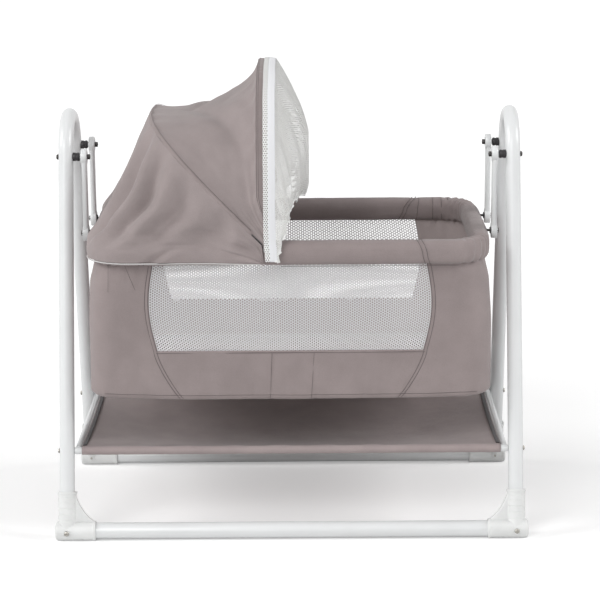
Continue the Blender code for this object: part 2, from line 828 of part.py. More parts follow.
def shelf_screw(side, row):
    """Screw through a leg with its insert in the shelf bar."""
    sx, sy = SIDES[side], ROWS[row]
    head = Vector((sx * (LEG_X + LEG_DIA / 2 + FIT), sy * SHELF_Y, SHELF_HEIGHT))
    tail = Vector((sx * (LEG_FACE - 2 * FIT), sy * SHELF_Y, SHELF_HEIGHT))
    insert_dia = SHELF_INSERT_SHARE * (SHELF_TUBE_DIA - 2 * SHELF_TUBE_WALL)
    return through_bolt(
        f"shelf_screw_{row}_{side}", head, tail,
        SHELF_SCREW_DIA, SHELF_HEAD_DIA, SHELF_HEAD_HEIGHT,
        (insert_dia, SHELF_INSERT_LENGTH),
    )


def shelf_hole_cutter(side, row):
    """Hole of a shelf screw through a leg."""
    sx, sy = SIDES[side], ROWS[row]
    start = (sx * (LEG_FACE - OVERRUN), sy * SHELF_Y, SHELF_HEIGHT)
    end = (sx * (HALF_LENGTH + OVERRUN), sy * SHELF_Y, SHELF_HEIGHT)
    return hole_cutter(f"shelf_hole_{row}_{side}", start, end, SHELF_SCREW_DIA)


def shelf_fabric():
    """Cloth wrapped round both bars, sagging between them."""
    wrap = SHELF_TUBE_DIA / 2 + SHELF_CLOTH_GAP + SHELF_CLOTH / 2
    half = LEG_FACE - SHELF_SIDE_INSET - SHELF_TUBE_DIA / 2 - SHELF_CLOTH_GAP
    first = math.radians(SHELF_WRAP_START_DEG)
    last = math.radians(-270)
    hook = []
    for i in range(SHELF_WRAP_STEPS + 1):
        angle = first + (last - first) * i / SHELF_WRAP_STEPS
        hook.append((-SHELF_Y + wrap * math.cos(angle), wrap * math.sin(angle)))
    span = SHELF_Y
    rings = []
    for i in range(SHELF_COLUMNS + 1):
        share = 2 * i / SHELF_COLUMNS - 1
        x = half * share
        depth = SHELF_SAG * (1 - share ** 4)
        ring = [Vector((x, y, SHELF_HEIGHT + z)) for y, z in hook]
        for j in range(1, SHELF_ROWS):
            across = 2 * j / SHELF_ROWS - 1
            bow = 1 - across * across
            fold = SHELF_FOLD * math.sin(math.pi * SHELF_FOLD_COUNT * share) * bow
            z = SHELF_HEIGHT + wrap - depth * bow - fold * (1 - share ** 4)
            ring.append(Vector((x, span * across, z)))
        for y, z in reversed(hook):
            ring.append(Vector((x, -y, SHELF_HEIGHT + z)))
        rings.append(ring)
    obj = mesh_object("shelf_fabric", loft(rings, ring_closed=False))
    solidify(smooth(obj), SHELF_CLOTH)
    return dressed(obj, DARK_TAUPE, 0.9)


# Rim
def rim_path(offset, height):
    """Closed path round the rim, at an offset outwards."""
    points = rounded_rectangle(
        RIM_HALF_LENGTH + offset, RIM_HALF_WIDTH + offset, RIM_CORNER + offset
    )
    return [Vector((*point, height)) for point, _ in points]


def rim_tube(holes):
    """Closed steel ring inside the padded rim."""
    obj = curve_tube(
        "rim_tube", rim_path(0, RIM_Z), RIM_TUBE_DIA / 2, THIN_RESOLUTION - 1, cyclic=True,
        wall=RIM_TUBE_WALL,
    )
    smooth(obj)
    for hole in holes:
        boolean(obj, hole)
    return dressed(obj, WHITE_PAINT, 0.35)


def pad_section():
    """Slotted section of the padded rim: across and up from the tube."""
    bore = RIM_TUBE_DIA / 2 + PAD_BORE_CLEARANCE
    bore /= math.cos(math.pi / PAD_BORE_STEPS)
    section = []
    for radius, steps, drop, turn in (
        (PAD_RADIUS, PAD_STEPS, PAD_DROP, 1),
        (bore, PAD_BORE_STEPS, 0, -1),
    ):
        half = math.asin(PAD_SLOT / 2 / radius)
        for i in range(steps + 1):
            share = i / steps if turn > 0 else 1 - i / steps
            angle = -math.pi / 2 + half + (2 * math.pi - 2 * half) * share
            section.append((radius * math.cos(angle), radius * math.sin(angle) - drop))
    return section


def rim_pad(pockets):
    """Padded cover round the rim tube, slotted below for the fabric body."""
    section = pad_section()
    rings = []
    path = rounded_rectangle(RIM_HALF_LENGTH, RIM_HALF_WIDTH, RIM_CORNER)
    for point, normal in path:
        rings.append(
            [Vector((*(point + normal * u), RIM_Z + v)) for u, v in section]
        )
    obj = mesh_object("rim_pad", loft(rings, ring_closed=True, path_closed=True))
    smooth(obj)
    for pocket in pockets:
        boolean(obj, pocket)
    return dressed(obj, TAUPE, 0.9)


def bolt_pocket(side, row):
    """Hole in the padded rim round a lower pivot bolt and its nut."""
    sx, sy = SIDES[side], ROWS[row]
    inner = RIM_HALF_LENGTH - RIM_TUBE_DIA / 2 - RIM_NUT_HEIGHT - RIM_NUT_CLEARANCE
    start = (sx * inner, sy * PIVOT_Y, RIM_Z)
    end = (sx * (EYE_OUTER + OVERRUN), sy * PIVOT_Y, RIM_Z)
    radius = PIVOT_HEAD_DIA / 2 + BOLT_HOLE_MARGIN
    name = f"rim_pocket_{row}_{side}"
    return as_cutter(rod(name, start, end, radius, HOLE_SIDES))


# Fabric body
def body_fabric(window):
    """Soft tub that hangs from the rim tube, with its window openings."""
    top = RIM_Z - RIM_TUBE_DIA / 2 - FIT - BODY_TOP_DROP
    shoulder = PAD_Z - PAD_RADIUS
    low = BODY_BOTTOM + BODY_EDGE_RADIUS
    levels = [(top, 0, 0, RIM_CORNER)]
    for i in range(BODY_LEVELS + 1):
        share = i / BODY_LEVELS
        swell = math.sin(math.pi / 2 * min(1, share / BODY_BULGE_SHARE))
        corner = RIM_CORNER + (BODY_BOTTOM_CORNER - RIM_CORNER) * share
        levels.append((shoulder + (low - shoulder) * share, BODY_BULGE * swell, 0, corner))
    for i in range(1, BODY_EDGE_STEPS + 1):
        angle = math.pi / 2 * i / BODY_EDGE_STEPS
        pull = BODY_EDGE_RADIUS * (1 - math.cos(angle))
        height = low - BODY_EDGE_RADIUS * math.sin(angle)
        levels.append((height, BODY_BULGE - pull, -pull, BODY_BOTTOM_CORNER - pull / 2))
    rings = []
    for height, along, across, corner in levels:
        outline = rounded_rectangle(
            RIM_HALF_LENGTH + along, RIM_HALF_WIDTH + across, corner
        )
        rings.append([Vector((*point, height)) for point, _ in outline])
    bm = loft(rings, ring_closed=True)
    bm.verts.ensure_lookup_table()
    bm.faces.new(bm.verts[-len(rings[-1]):])
    bmesh.ops.recalc_face_normals(bm, faces=bm.faces)
    obj = mesh_object("body_fabric", bm)
    solidify(smooth(obj), BODY_CLOTH)
    boolean(obj, window)
    return dressed(obj, TAUPE, 0.92)


def window_outline(inset):
    """Window outline: across and up, with bulged sides."""
    low, high = WINDOW_BOTTOM + inset, WINDOW_TOP - inset
    side = []
    for i in range(WINDOW_STEPS + 1):
        share = i / WINDOW_STEPS
        width = WINDOW_HALF_BOTTOM + (WINDOW_HALF_TOP - WINDOW_HALF_BOTTOM) * share
        bulge = WINDOW_BULGE * math.sin(math.pi * share)
        side.append((width + bulge - inset, low + (high - low) * share))
    return side + [(-u, v) for u, v in reversed(side)]


def window_cutter():
    """Prism that opens both long walls."""
    reach = RIM_HALF_WIDTH + OVERRUN
    rings = []
    for y in (-reach, reach):
        rings.append([Vector((u, y, v)) for u, v in window_outline(0)])
    return as_cutter(mesh_object("window_space", loft(rings, True, caps=True)))


def window_net(row):
    """Net panel in a window, with square gaps."""
    outlines = [window_outline(FIT)]
    width = 2 * (WINDOW_HALF_BOTTOM - NET_BORDER)
    height = WINDOW_TOP - WINDOW_BOTTOM - 2 * NET_BORDER
    pitch_u, pitch_v = width / NET_COLUMNS, height / NET_ROWS
    half_u, half_v = (pitch_u - NET_STRAND) / 2, (pitch_v - NET_STRAND) / 2
    for i in range(NET_COLUMNS):
        for j in range(NET_ROWS):
            u = pitch_u * (i + 1 / 2) - width / 2
            v = WINDOW_BOTTOM + NET_BORDER + pitch_v * (j + 1 / 2)
            outlines.append([
                (u - half_u, v - half_v),
                (u - half_u, v + half_v),
                (u + half_u, v + half_v),
                (u + half_u, v - half_v),
            ])
    upright = Matrix.Rotation(math.pi / 2, 4, "X")
    place = Matrix.Translation((0, ROWS[row] * RIM_HALF_WIDTH, 0))
    obj = flat_curve(f"window_net_{row}", outlines, NET_THICKNESS, place @ upright)
    return dressed(obj, NET_WHITE, 0.8)


def base_board():
    """Stiff board on the floor of the fabric body."""
    low = BODY_BOTTOM + BODY_CLOTH / 2 + FIT
    outline = rounded_rectangle(
        RIM_HALF_LENGTH + BODY_BULGE - BODY_EDGE_RADIUS - BOARD_MARGIN / 2,
        RIM_HALF_WIDTH - BODY_EDGE_RADIUS - BOARD_MARGIN / 2,
        BOARD_CORNER,
    )
    rings = []
    for height in (low, low + BOARD_THICKNESS):
        rings.append([Vector((*point, height)) for point, _ in outline])
    obj = mesh_object("base_board", loft(rings, True, caps=True))
    return dressed(obj, BOARD_BROWN, 0.8)


def mattress():
    """Crowned foam mattress whose sides pull in between its corners."""
    low = BODY_BOTTOM + BODY_CLOTH / 2 + BOARD_THICKNESS + 2 * FIT
    half_length = RIM_HALF_LENGTH + BODY_BULGE - BODY_CLOTH - MATTRESS_MARGIN
    half_width = RIM_HALF_WIDTH - BODY_CLOTH - MATTRESS_MARGIN
    bm = bmesh.new()
    bmesh.ops.create_grid(
        bm, x_segments=MATTRESS_COLUMNS, y_segments=MATTRESS_ROWS, size=1
    )
    for vert in bm.verts:
        u, v = vert.co.x, vert.co.y
        corner = min(1, (u * v) ** 2)
        reach_x = half_length - MATTRESS_CORNER * corner * (1 - 1 / math.sqrt(2))
        reach_y = half_width - MATTRESS_CORNER * corner * (1 - 1 / math.sqrt(2))
        pull_x = SIDE_PULL * (1 - v * v) * abs(u)
        pull_y = SIDE_PULL * (1 - u ** 4) * abs(v)
        vert.co.x = u * (reach_x - pull_x)
        vert.co.y = v * (reach_y - pull_y)
        vert.co.z = low
    made = bmesh.ops.extrude_face_region(bm, geom=list(bm.faces))
    crown = [item for item in made["geom"] if isinstance(item, bmesh.types.BMVert)]
    for vert in crown:
        u, v = vert.co.x / half_length, vert.co.y / half_width
        rise = (1 - u ** 4) * (1 - v ** 4)
        vert.co.z += MATTRESS_THICKNESS - MATTRESS_CROWN * (1 - rise)
    bmesh.ops.recalc_face_normals(bm, faces=bm.faces)
    obj = mesh_object("mattress", bm)
    bevel = obj.modifiers.new("Soft edge", "BEVEL")
    bevel.width = MATTRESS_CROWN
    bevel.segments = 2
    bevel.limit_method = "ANGLE"
    bevel.angle_limit = math.radians(50)
    return dressed(smooth(obj), SHEET_WHITE, 0.9)


# Hood
def arch_reach(share, half_width, height):
    """Squared arch at a share of a quarter turn each way: across and up."""
    angle = math.pi / 2 * share
    across, up = math.sin(angle), max(0.0, math.cos(angle))
    wide = (abs(across) / half_width) ** (1 / HOOD_ROUND_SHARE)
    tall = (up / height) ** (1 / HOOD_ROUND_SHARE)
    radius = (wide + tall) ** -HOOD_ROUND_SHARE
    return radius * across, radius * up


def bow_point(angle, half_width, share, grow=0.0):
    """Point of a bow at its angle, from -1 at the front to 1 at the rear."""
    across, up = arch_reach(share, half_width + grow, HOOD_HEIGHT + grow)
    return Vector((
        HOOD_PIVOT_X + up * math.cos(angle),
        across,
        RIM_Z + up * math.sin(angle),
    ))


def bow_shares(skipped=0):
    """Shares along a bow, without the steps nearest to the pivots."""
    shares = [2 * i / BOW_STEPS - 1 for i in range(BOW_STEPS + 1)]
    return shares[skipped:len(shares) - skipped]


def hood_bow(name, angle, half_width, pin_hole):
    """Spring wire bow with a flat eye at each end."""
    points = [bow_point(angle, half_width, share) for share in bow_shares()]
    obj = curve_tube(name, points, BOW_DIA / 2, THIN_RESOLUTION - 1)
    mesh_shift = Vector((HOOD_PIVOT_X, 0, RIM_Z))
    obj.data.transform(Matrix.Translation(-mesh_shift))
    obj.location = mesh_shift
    smooth(obj)
    for sy in (-1, 1):
        place = Vector((HOOD_PIVOT_X, sy * half_width, RIM_Z))
        half = Vector((0, BOW_DIA / 2, 0))
        label = "rear" if sy > 0 else "front"
        eye = rod(f"{name}_eye_{label}", place - half, place + half, BOW_EYE_DIA / 2, SMALL_SIDES)
        boolean(obj, eye, "UNION")
    for hole in pin_hole:
        boolean(obj, hole)
    return dressed(obj, ZINC, 0.4, 1.0)


def hood_pin(row):
    """Pivot pin of both bows, from the rim tube to its head outside."""
    sy = ROWS[row]
    outer = FRONT_BOW_Y + BOW_DIA / 2 + FIT
    inner = RIM_HALF_WIDTH
    head = (HOOD_PIVOT_X, sy * outer, RIM_Z)
    tail = (HOOD_PIVOT_X, sy * inner, RIM_Z)
    return through_bolt(
        f"hood_pin_{row}", head, tail,
        HOOD_PIN_DIA, HOOD_PIN_HEAD_DIA, HOOD_PIN_HEAD, None,
    )


def pin_cutter(row):
    """Bore for a hood pin through rim tube, pad and bow eyes."""
    sy = ROWS[row]
    start = (HOOD_PIVOT_X, sy * (RIM_HALF_WIDTH - FIT), RIM_Z)
    end = (HOOD_PIVOT_X, sy * (FRONT_BOW_Y + OVERRUN), RIM_Z)
    return hole_cutter(f"pin_hole_{row}", start, end, HOOD_PIN_DIA)


def sleeve(name, angle, half_width, skipped, along, radial):
    """Fabric channel round a bow: half width along the hood and radially."""
    normal = Vector((math.sin(angle), 0, -math.cos(angle)))
    flat = math.cos(math.pi / SLEEVE_SIDES)
    bore = (BOW_DIA / 2 + 2 * FIT) / flat
    along, radial = along / flat, radial / flat
    rings, bores = [], []
    shares = bow_shares(skipped)
    for share in shares:
        centre = bow_point(angle, half_width, share)
        ahead = bow_point(angle, half_width, share + 1 / BOW_STEPS)
        behind = bow_point(angle, half_width, share - 1 / BOW_STEPS)
        out = (ahead - behind).normalized().cross(normal).normalized()
        rings.append([])
        bores.append([])
        for i in range(SLEEVE_SIDES):
            turn = 2 * math.pi * (i + 1 / 2) / SLEEVE_SIDES
            u, v = math.cos(turn), math.sin(turn)
            rings[-1].append(centre + normal * along * u + out * radial * v)
            bores[-1].append(centre + normal * bore * u + out * bore * v)
    bm = loft(rings, ring_closed=True)
    inner = loft(bores, ring_closed=True)
    spare = bpy.data.meshes.new("bore")
    bmesh.ops.reverse_faces(inner, faces=inner.faces)
    inner.to_mesh(spare)
    inner.free()
    count = len(bm.verts)
    bm.from_mesh(spare)
    bpy.data.meshes.remove(spare)
    bm.verts.ensure_lookup_table()
    last = SLEEVE_SIDES * (len(shares) - 1)
    for first in (0, last):
        for i in range(SLEEVE_SIDES):
            j = (i + 1) % SLEEVE_SIDES
            corners = (first + i, first + j, count + first + j, count + first + i)
            bm.faces.new([bm.verts[k] for k in corners])
    bmesh.ops.recalc_face_normals(bm, faces=bm.faces)
    return mesh_object(name, bm, (HOOD_PIVOT_X, 0, RIM_Z))


def hood_tape():
    """White tape over the outside of the front sleeve."""
    rise = FRONT_SLEEVE_DEPTH / 2 + HOOD_CLOTH_GAP
    rings = []
    for share in bow_shares(FRONT_SLEEVE_SKIP_COUNT + 1):
        ring = []
        for u in (-1 / 2, 1 / 2):
            point = bow_point(FRONT_ANGLE, FRONT_BOW_Y, share, rise + TAPE_THICKNESS / 2)
            ring.append(point + Vector((TAPE_WIDTH * u, 0, 0)))
        rings.append(ring)
    bm = loft(rings, ring_closed=False)
    obj = mesh_object("hood_tape", bm, (HOOD_PIVOT_X, 0, RIM_Z))
    solidify(smooth(obj), TAPE_THICKNESS)
    return dressed(obj, TAPE_WHITE, 0.7)


def front_panel():
    """Hood cloth between the front sleeve and the rear bow."""
    normal = Vector((math.sin(MID_ANGLE), 0, -math.cos(MID_ANGLE)))
    gap = HOOD_CLOTH_GAP + HOOD_CLOTH / 2
    rings = []
    for share in bow_shares(PANEL_SKIP_COUNT):
        ahead = bow_point(FRONT_ANGLE, FRONT_BOW_Y, share)
        ahead.x -= FRONT_SLEEVE_WIDTH / 2 + gap
        behind = bow_point(MID_ANGLE, MID_BOW_Y, share)
        behind += normal * (MID_SLEEVE_RADIUS + gap)
        up = (ahead.z - RIM_Z) / HOOD_HEIGHT
        ring = []
        for j in range(PANEL_ROWS + 1):
            along = j / PANEL_ROWS
            sag = FRONT_PANEL_SAG * up * math.sin(math.pi * along)
            point = ahead.lerp(behind, along)
            ring.append(point - Vector((0, 0, sag)))
        rings.append(ring)
    obj = mesh_object("hood_panel_front", loft(rings, ring_closed=False))
    solidify(smooth(obj), HOOD_CLOTH)
    return dressed(obj, TAUPE, 0.92)


def hem_point(share, offset, height):
    """Point round the hooded end of the rim, from -1 front to 1 rear.

    Its steps meet those of the rim's corners, so that the cloth clears them.
    """
    half_length = RIM_HALF_LENGTH + offset
    half_width = RIM_HALF_WIDTH + offset
    corner = RIM_CORNER + offset
    steps = BOW_STEPS / 2 - PANEL_SKIP_COUNT
    step = abs(share) * steps
    bend = HEM_END_STEPS + CORNER_STEPS
    if step <= HEM_END_STEPS:
        x, y = -half_length, (half_width - corner) * step / HEM_END_STEPS
    elif step <= bend:
        turn = math.pi / 2 * (step - HEM_END_STEPS) / CORNER_STEPS
        x = -half_length + corner * (1 - math.cos(turn))
        y = half_width - corner + corner * math.sin(turn)
    else:
        first, last = corner - half_length, HOOD_PIVOT_X - HEM_START
        x = first + (last - first) * (step - bend) / (steps - bend)
        y = half_width
    return Vector((x, math.copysign(y, share), height))


def rear_panel(bolt_spaces):
    """Hood cloth from the rear bow down over the end of the padded rim."""
    normal = Vector((math.sin(MID_ANGLE), 0, -math.cos(MID_ANGLE)))
    gap = MID_SLEEVE_RADIUS + HOOD_CLOTH_GAP + HOOD_CLOTH / 2
    shares = bow_shares(PANEL_SKIP_COUNT)
    rings = []
    for arch_share in shares:
        share = arch_share / shares[-1]
        top = bow_point(MID_ANGLE, MID_BOW_Y, arch_share) - normal * gap
        shoulder = hem_point(share, CLOTH_OFFSET, SHOULDER_HEIGHT)
        hem = hem_point(share, CLOTH_OFFSET, HEM_HEIGHT)
        up = (top.z - RIM_Z) / HOOD_HEIGHT
        ring = []
        for j in range(PANEL_ROWS + 1):
            along = j / PANEL_ROWS
            point = top.lerp(shoulder, along)
            inward = Vector((1, 0, 0)) * REAR_PANEL_SAG * up * math.sin(math.pi * along)
            ring.append(point + inward)
        ring.append(hem)
        rings.append(ring)
    obj = mesh_object("hood_panel_rear", loft(rings, ring_closed=False))
    solidify(smooth(obj), HOOD_CLOTH)
    for space in bolt_spaces:
        boolean(obj, space)
    return dressed(obj, TAUPE, 0.92)


def hem_piping():
    """White piping under the hood's lower hem."""
    height = HEM_HEIGHT - PIPING_DIA / 2 - HOOD_CLOTH_GAP
    shares = bow_shares(PANEL_SKIP_COUNT)
    points = [hem_point(share / shares[-1], CLOTH_OFFSET, height) for share in shares]
    obj = curve_tube("hood_piping", points, PIPING_DIA / 2, 1)
    return dressed(smooth(obj), TAPE_WHITE, 0.7)


def hood_net():
    """Net that hangs in soft folds from the front of the hood."""
    face = FRONT_SLEEVE_WIDTH / 2 + HOOD_CLOTH_GAP + CURTAIN_THICKNESS / 2
    rings = []
    limit = bow_shares(PANEL_SKIP_COUNT)[-1]
    for i in range(CURTAIN_STEPS + 1):
        share = limit * (2 * i / CURTAIN_STEPS - 1)
        top = bow_point(FRONT_ANGLE, FRONT_BOW_Y, share)
        top.x += face
        across = top.y / FRONT_BOW_Y
        side = abs(across) ** CURTAIN_EDGE_POWER_SHARE
        hem_height = CURTAIN_HEM_HEIGHT + (CURTAIN_SIDE_HEIGHT - CURTAIN_HEM_HEIGHT) * side
        hem = Vector((
            top.x + CURTAIN_REACH * (1 - side),
            top.y * CURTAIN_GATHER_SHARE,
            min(hem_height, top.z - CURTAIN_FOLD),
        ))
        ring = []
        for j in range(CURTAIN_ROWS + 1):
            along = j / CURTAIN_ROWS
            wave = math.sin(math.pi * CURTAIN_FOLD_COUNT * across)
            swell = CURTAIN_BULGE * (1 - side) * math.sin(math.pi * along)
            fold = CURTAIN_FOLD * wave * along * (1 - side)
            point = top.lerp(hem, along)
            ring.append(point + Vector((swell + fold, 0, 0)))
        rings.append(ring)
    obj = mesh_object("hood_net", loft(rings, ring_closed=False), (HOOD_PIVOT_X, 0, RIM_Z))
    solidify(smooth(obj), CURTAIN_THICKNESS)
    return dressed(obj, NET_WHITE, 0.8)


def build_stand(places):
    """Frames, base, shelf and upper pivots."""
    tube_spaces = {}
    for row, sy in ROWS.items():
        base_tube(row)
        reach = BASE_TUBE_END + FIT
        ends = [(sx * reach, sy * HALF_TRACK, JOINT_Z) for sx in (-1, 1)]
        name = f"base_space_{row}"
        tube_spaces[row] = space_rod(name, *ends, BASE_TUBE_DIA / 2, SPACE_SIDES)
    for side in SIDES:
        holes = []
        for row in ROWS:
            base = leg_point(SIDES[side], ROWS[row], JOINT_Z)
            reach = Vector((0, BARREL_DIA, 0))
            name = f"corner_hole_{row}_{side}"
            bolt_hole = hole_cutter(name, base - reach, base + reach, CORNER_BOLT_DIA)
            leg_space = leg_cutter(side, row)
            corner_joint(side, row, leg_space, tube_spaces[row], bolt_hole)
            corner_bolt(side, row)
            pivot_bolt(side, row)
            spacer(side, row, leg_space, places[side, row]["pivot"])
            shelf_screw(side, row)
            holes += [bolt_hole, places[side, row]["pivot"], shelf_hole_cutter(side, row)]
        end_frame(side, holes)
    for row in ROWS:
        shelf_bar(row)
    for side in SIDES:
        shelf_side_tube(side)
    shelf_fabric()


def build_cradle(places, pins):
    """Rim, fabric body, board, mattress and lower pivots."""
    cradle = carrier("cradle_carrier", (-ARM_X, -PIVOT_Y, RIM_Z))
    rim_holes = [place["rim"] for place in places.values()]
    pockets = [bolt_pocket(side, row) for side, row in places]
    pieces = [rim_tube(rim_holes + pins), rim_pad(pockets + pins)]
    pieces += [rim_bolt(side, row) for side, row in places]
    pieces += [rim_washer(side, row) for side, row in places]
    pieces.append(body_fabric(window_cutter()))
    pieces += [window_net(row) for row in ROWS]
    pieces += [base_board(), mattress()]
    pieces += [hood_pin(row) for row in ROWS]
    pieces.append(rear_panel(pockets[:2]))
    pieces.append(hem_piping())
    parent_to(cradle, pieces)


def build_hood(pins):
    """Bows with their sleeves, front panel, tape and net."""
    pivot = (HOOD_PIVOT_X, 0, RIM_Z)
    mid = carrier("hood_mid_carrier", pivot)
    front = carrier("hood_front_carrier", pivot)
    mid_sleeve = sleeve(
        "hood_mid_sleeve", MID_ANGLE, MID_BOW_Y, MID_SLEEVE_SKIP_COUNT,
        MID_SLEEVE_RADIUS, MID_SLEEVE_RADIUS,
    )
    front_sleeve = sleeve(
        "hood_front_sleeve", FRONT_ANGLE, FRONT_BOW_Y, FRONT_SLEEVE_SKIP_COUNT,
        FRONT_SLEEVE_WIDTH / 2, FRONT_SLEEVE_DEPTH / 2,
    )
    dressed(smooth(mid_sleeve), TAUPE, 0.92)
    dressed(smooth(front_sleeve), TAUPE, 0.92)
    mid_bow = hood_bow("hood_mid_bow", MID_ANGLE, MID_BOW_Y, pins)
    front_bow = hood_bow("hood_front_bow", FRONT_ANGLE, FRONT_BOW_Y, pins)
    parent_to(mid, [mid_bow, mid_sleeve, front_panel()])
    parent_to(front, [front_bow, front_sleeve, hood_tape(), hood_net()])


def main():
    """Build the whole cradle."""
    places = {}
    for side in SIDES:
        for row in ROWS:
            pivot, rim = pivot_hole_cutter(side, row), rim_hole_cutter(side, row)
            places[side, row] = {"pivot": pivot, "rim": rim}
            hanger_arm(side, row, pivot, rim)
    pins = [pin_cutter(row) for row in ROWS]
    build_stand(places)
    build_cradle(places, pins)
    build_hood(pins)


main()
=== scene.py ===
"""Look of the baby cradle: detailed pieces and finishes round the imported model."""

import logging
from collections.abc import Callable, Iterable, Sequence
from dataclasses import dataclass
from enum import Enum, IntEnum
from math import atan2, copysign, cos, exp, pi, radians, sin, sqrt

import bmesh
import bpy
from bmesh.types import BMEdge, BMesh, BMVert
from bpy.types import Material, NodeSocket, Object
from mathutils import Matrix, Vector, noise


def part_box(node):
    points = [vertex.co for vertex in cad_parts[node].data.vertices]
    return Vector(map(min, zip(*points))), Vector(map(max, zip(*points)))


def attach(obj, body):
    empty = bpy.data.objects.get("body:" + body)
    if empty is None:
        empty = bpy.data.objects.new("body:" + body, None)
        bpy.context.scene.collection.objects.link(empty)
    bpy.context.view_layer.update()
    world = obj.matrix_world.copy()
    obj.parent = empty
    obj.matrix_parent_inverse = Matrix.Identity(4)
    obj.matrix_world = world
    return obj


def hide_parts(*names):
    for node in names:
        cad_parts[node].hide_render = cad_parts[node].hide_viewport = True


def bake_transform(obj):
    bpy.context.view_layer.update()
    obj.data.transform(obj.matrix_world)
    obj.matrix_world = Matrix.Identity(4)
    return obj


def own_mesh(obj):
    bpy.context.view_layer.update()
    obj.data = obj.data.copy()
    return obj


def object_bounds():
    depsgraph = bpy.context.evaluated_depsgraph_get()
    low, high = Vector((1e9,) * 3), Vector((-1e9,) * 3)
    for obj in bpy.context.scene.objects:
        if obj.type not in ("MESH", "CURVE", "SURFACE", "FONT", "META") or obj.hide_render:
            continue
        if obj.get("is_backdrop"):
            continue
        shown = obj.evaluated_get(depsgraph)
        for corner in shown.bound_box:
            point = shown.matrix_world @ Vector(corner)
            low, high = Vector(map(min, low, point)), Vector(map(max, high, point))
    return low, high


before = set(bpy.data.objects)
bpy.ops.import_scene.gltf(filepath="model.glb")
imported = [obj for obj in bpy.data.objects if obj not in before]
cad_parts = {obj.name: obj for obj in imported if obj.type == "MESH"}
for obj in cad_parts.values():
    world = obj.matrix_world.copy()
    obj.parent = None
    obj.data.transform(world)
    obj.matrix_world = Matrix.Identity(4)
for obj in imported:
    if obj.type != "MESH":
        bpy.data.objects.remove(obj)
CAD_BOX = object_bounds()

LOG = logging.getLogger("cradle")
Place = Callable[[float, float], Vector]
Triple = tuple[float, float, float]


class Direction(IntEnum):
    """Direction along an axis, whose name is a part of node names."""

    @property
    def label(self) -> str:
        """Gives the direction's word in node names.

        Returns:
            The lower case word.
        """
        return self.name.lower()


class Side(Direction):
    """End of the object, with its direction along X."""

    LEFT = -1
    RIGHT = 1


class Row(Direction):
    """Long side of the object, with its direction along Y."""

    FRONT = -1
    REAR = 1


class Body(Enum):
    """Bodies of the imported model."""

    STAND = "stand"
    CRADLE = "cradle"
    HOOD_MID = "hood_mid"
    HOOD_FRONT = "hood_front"


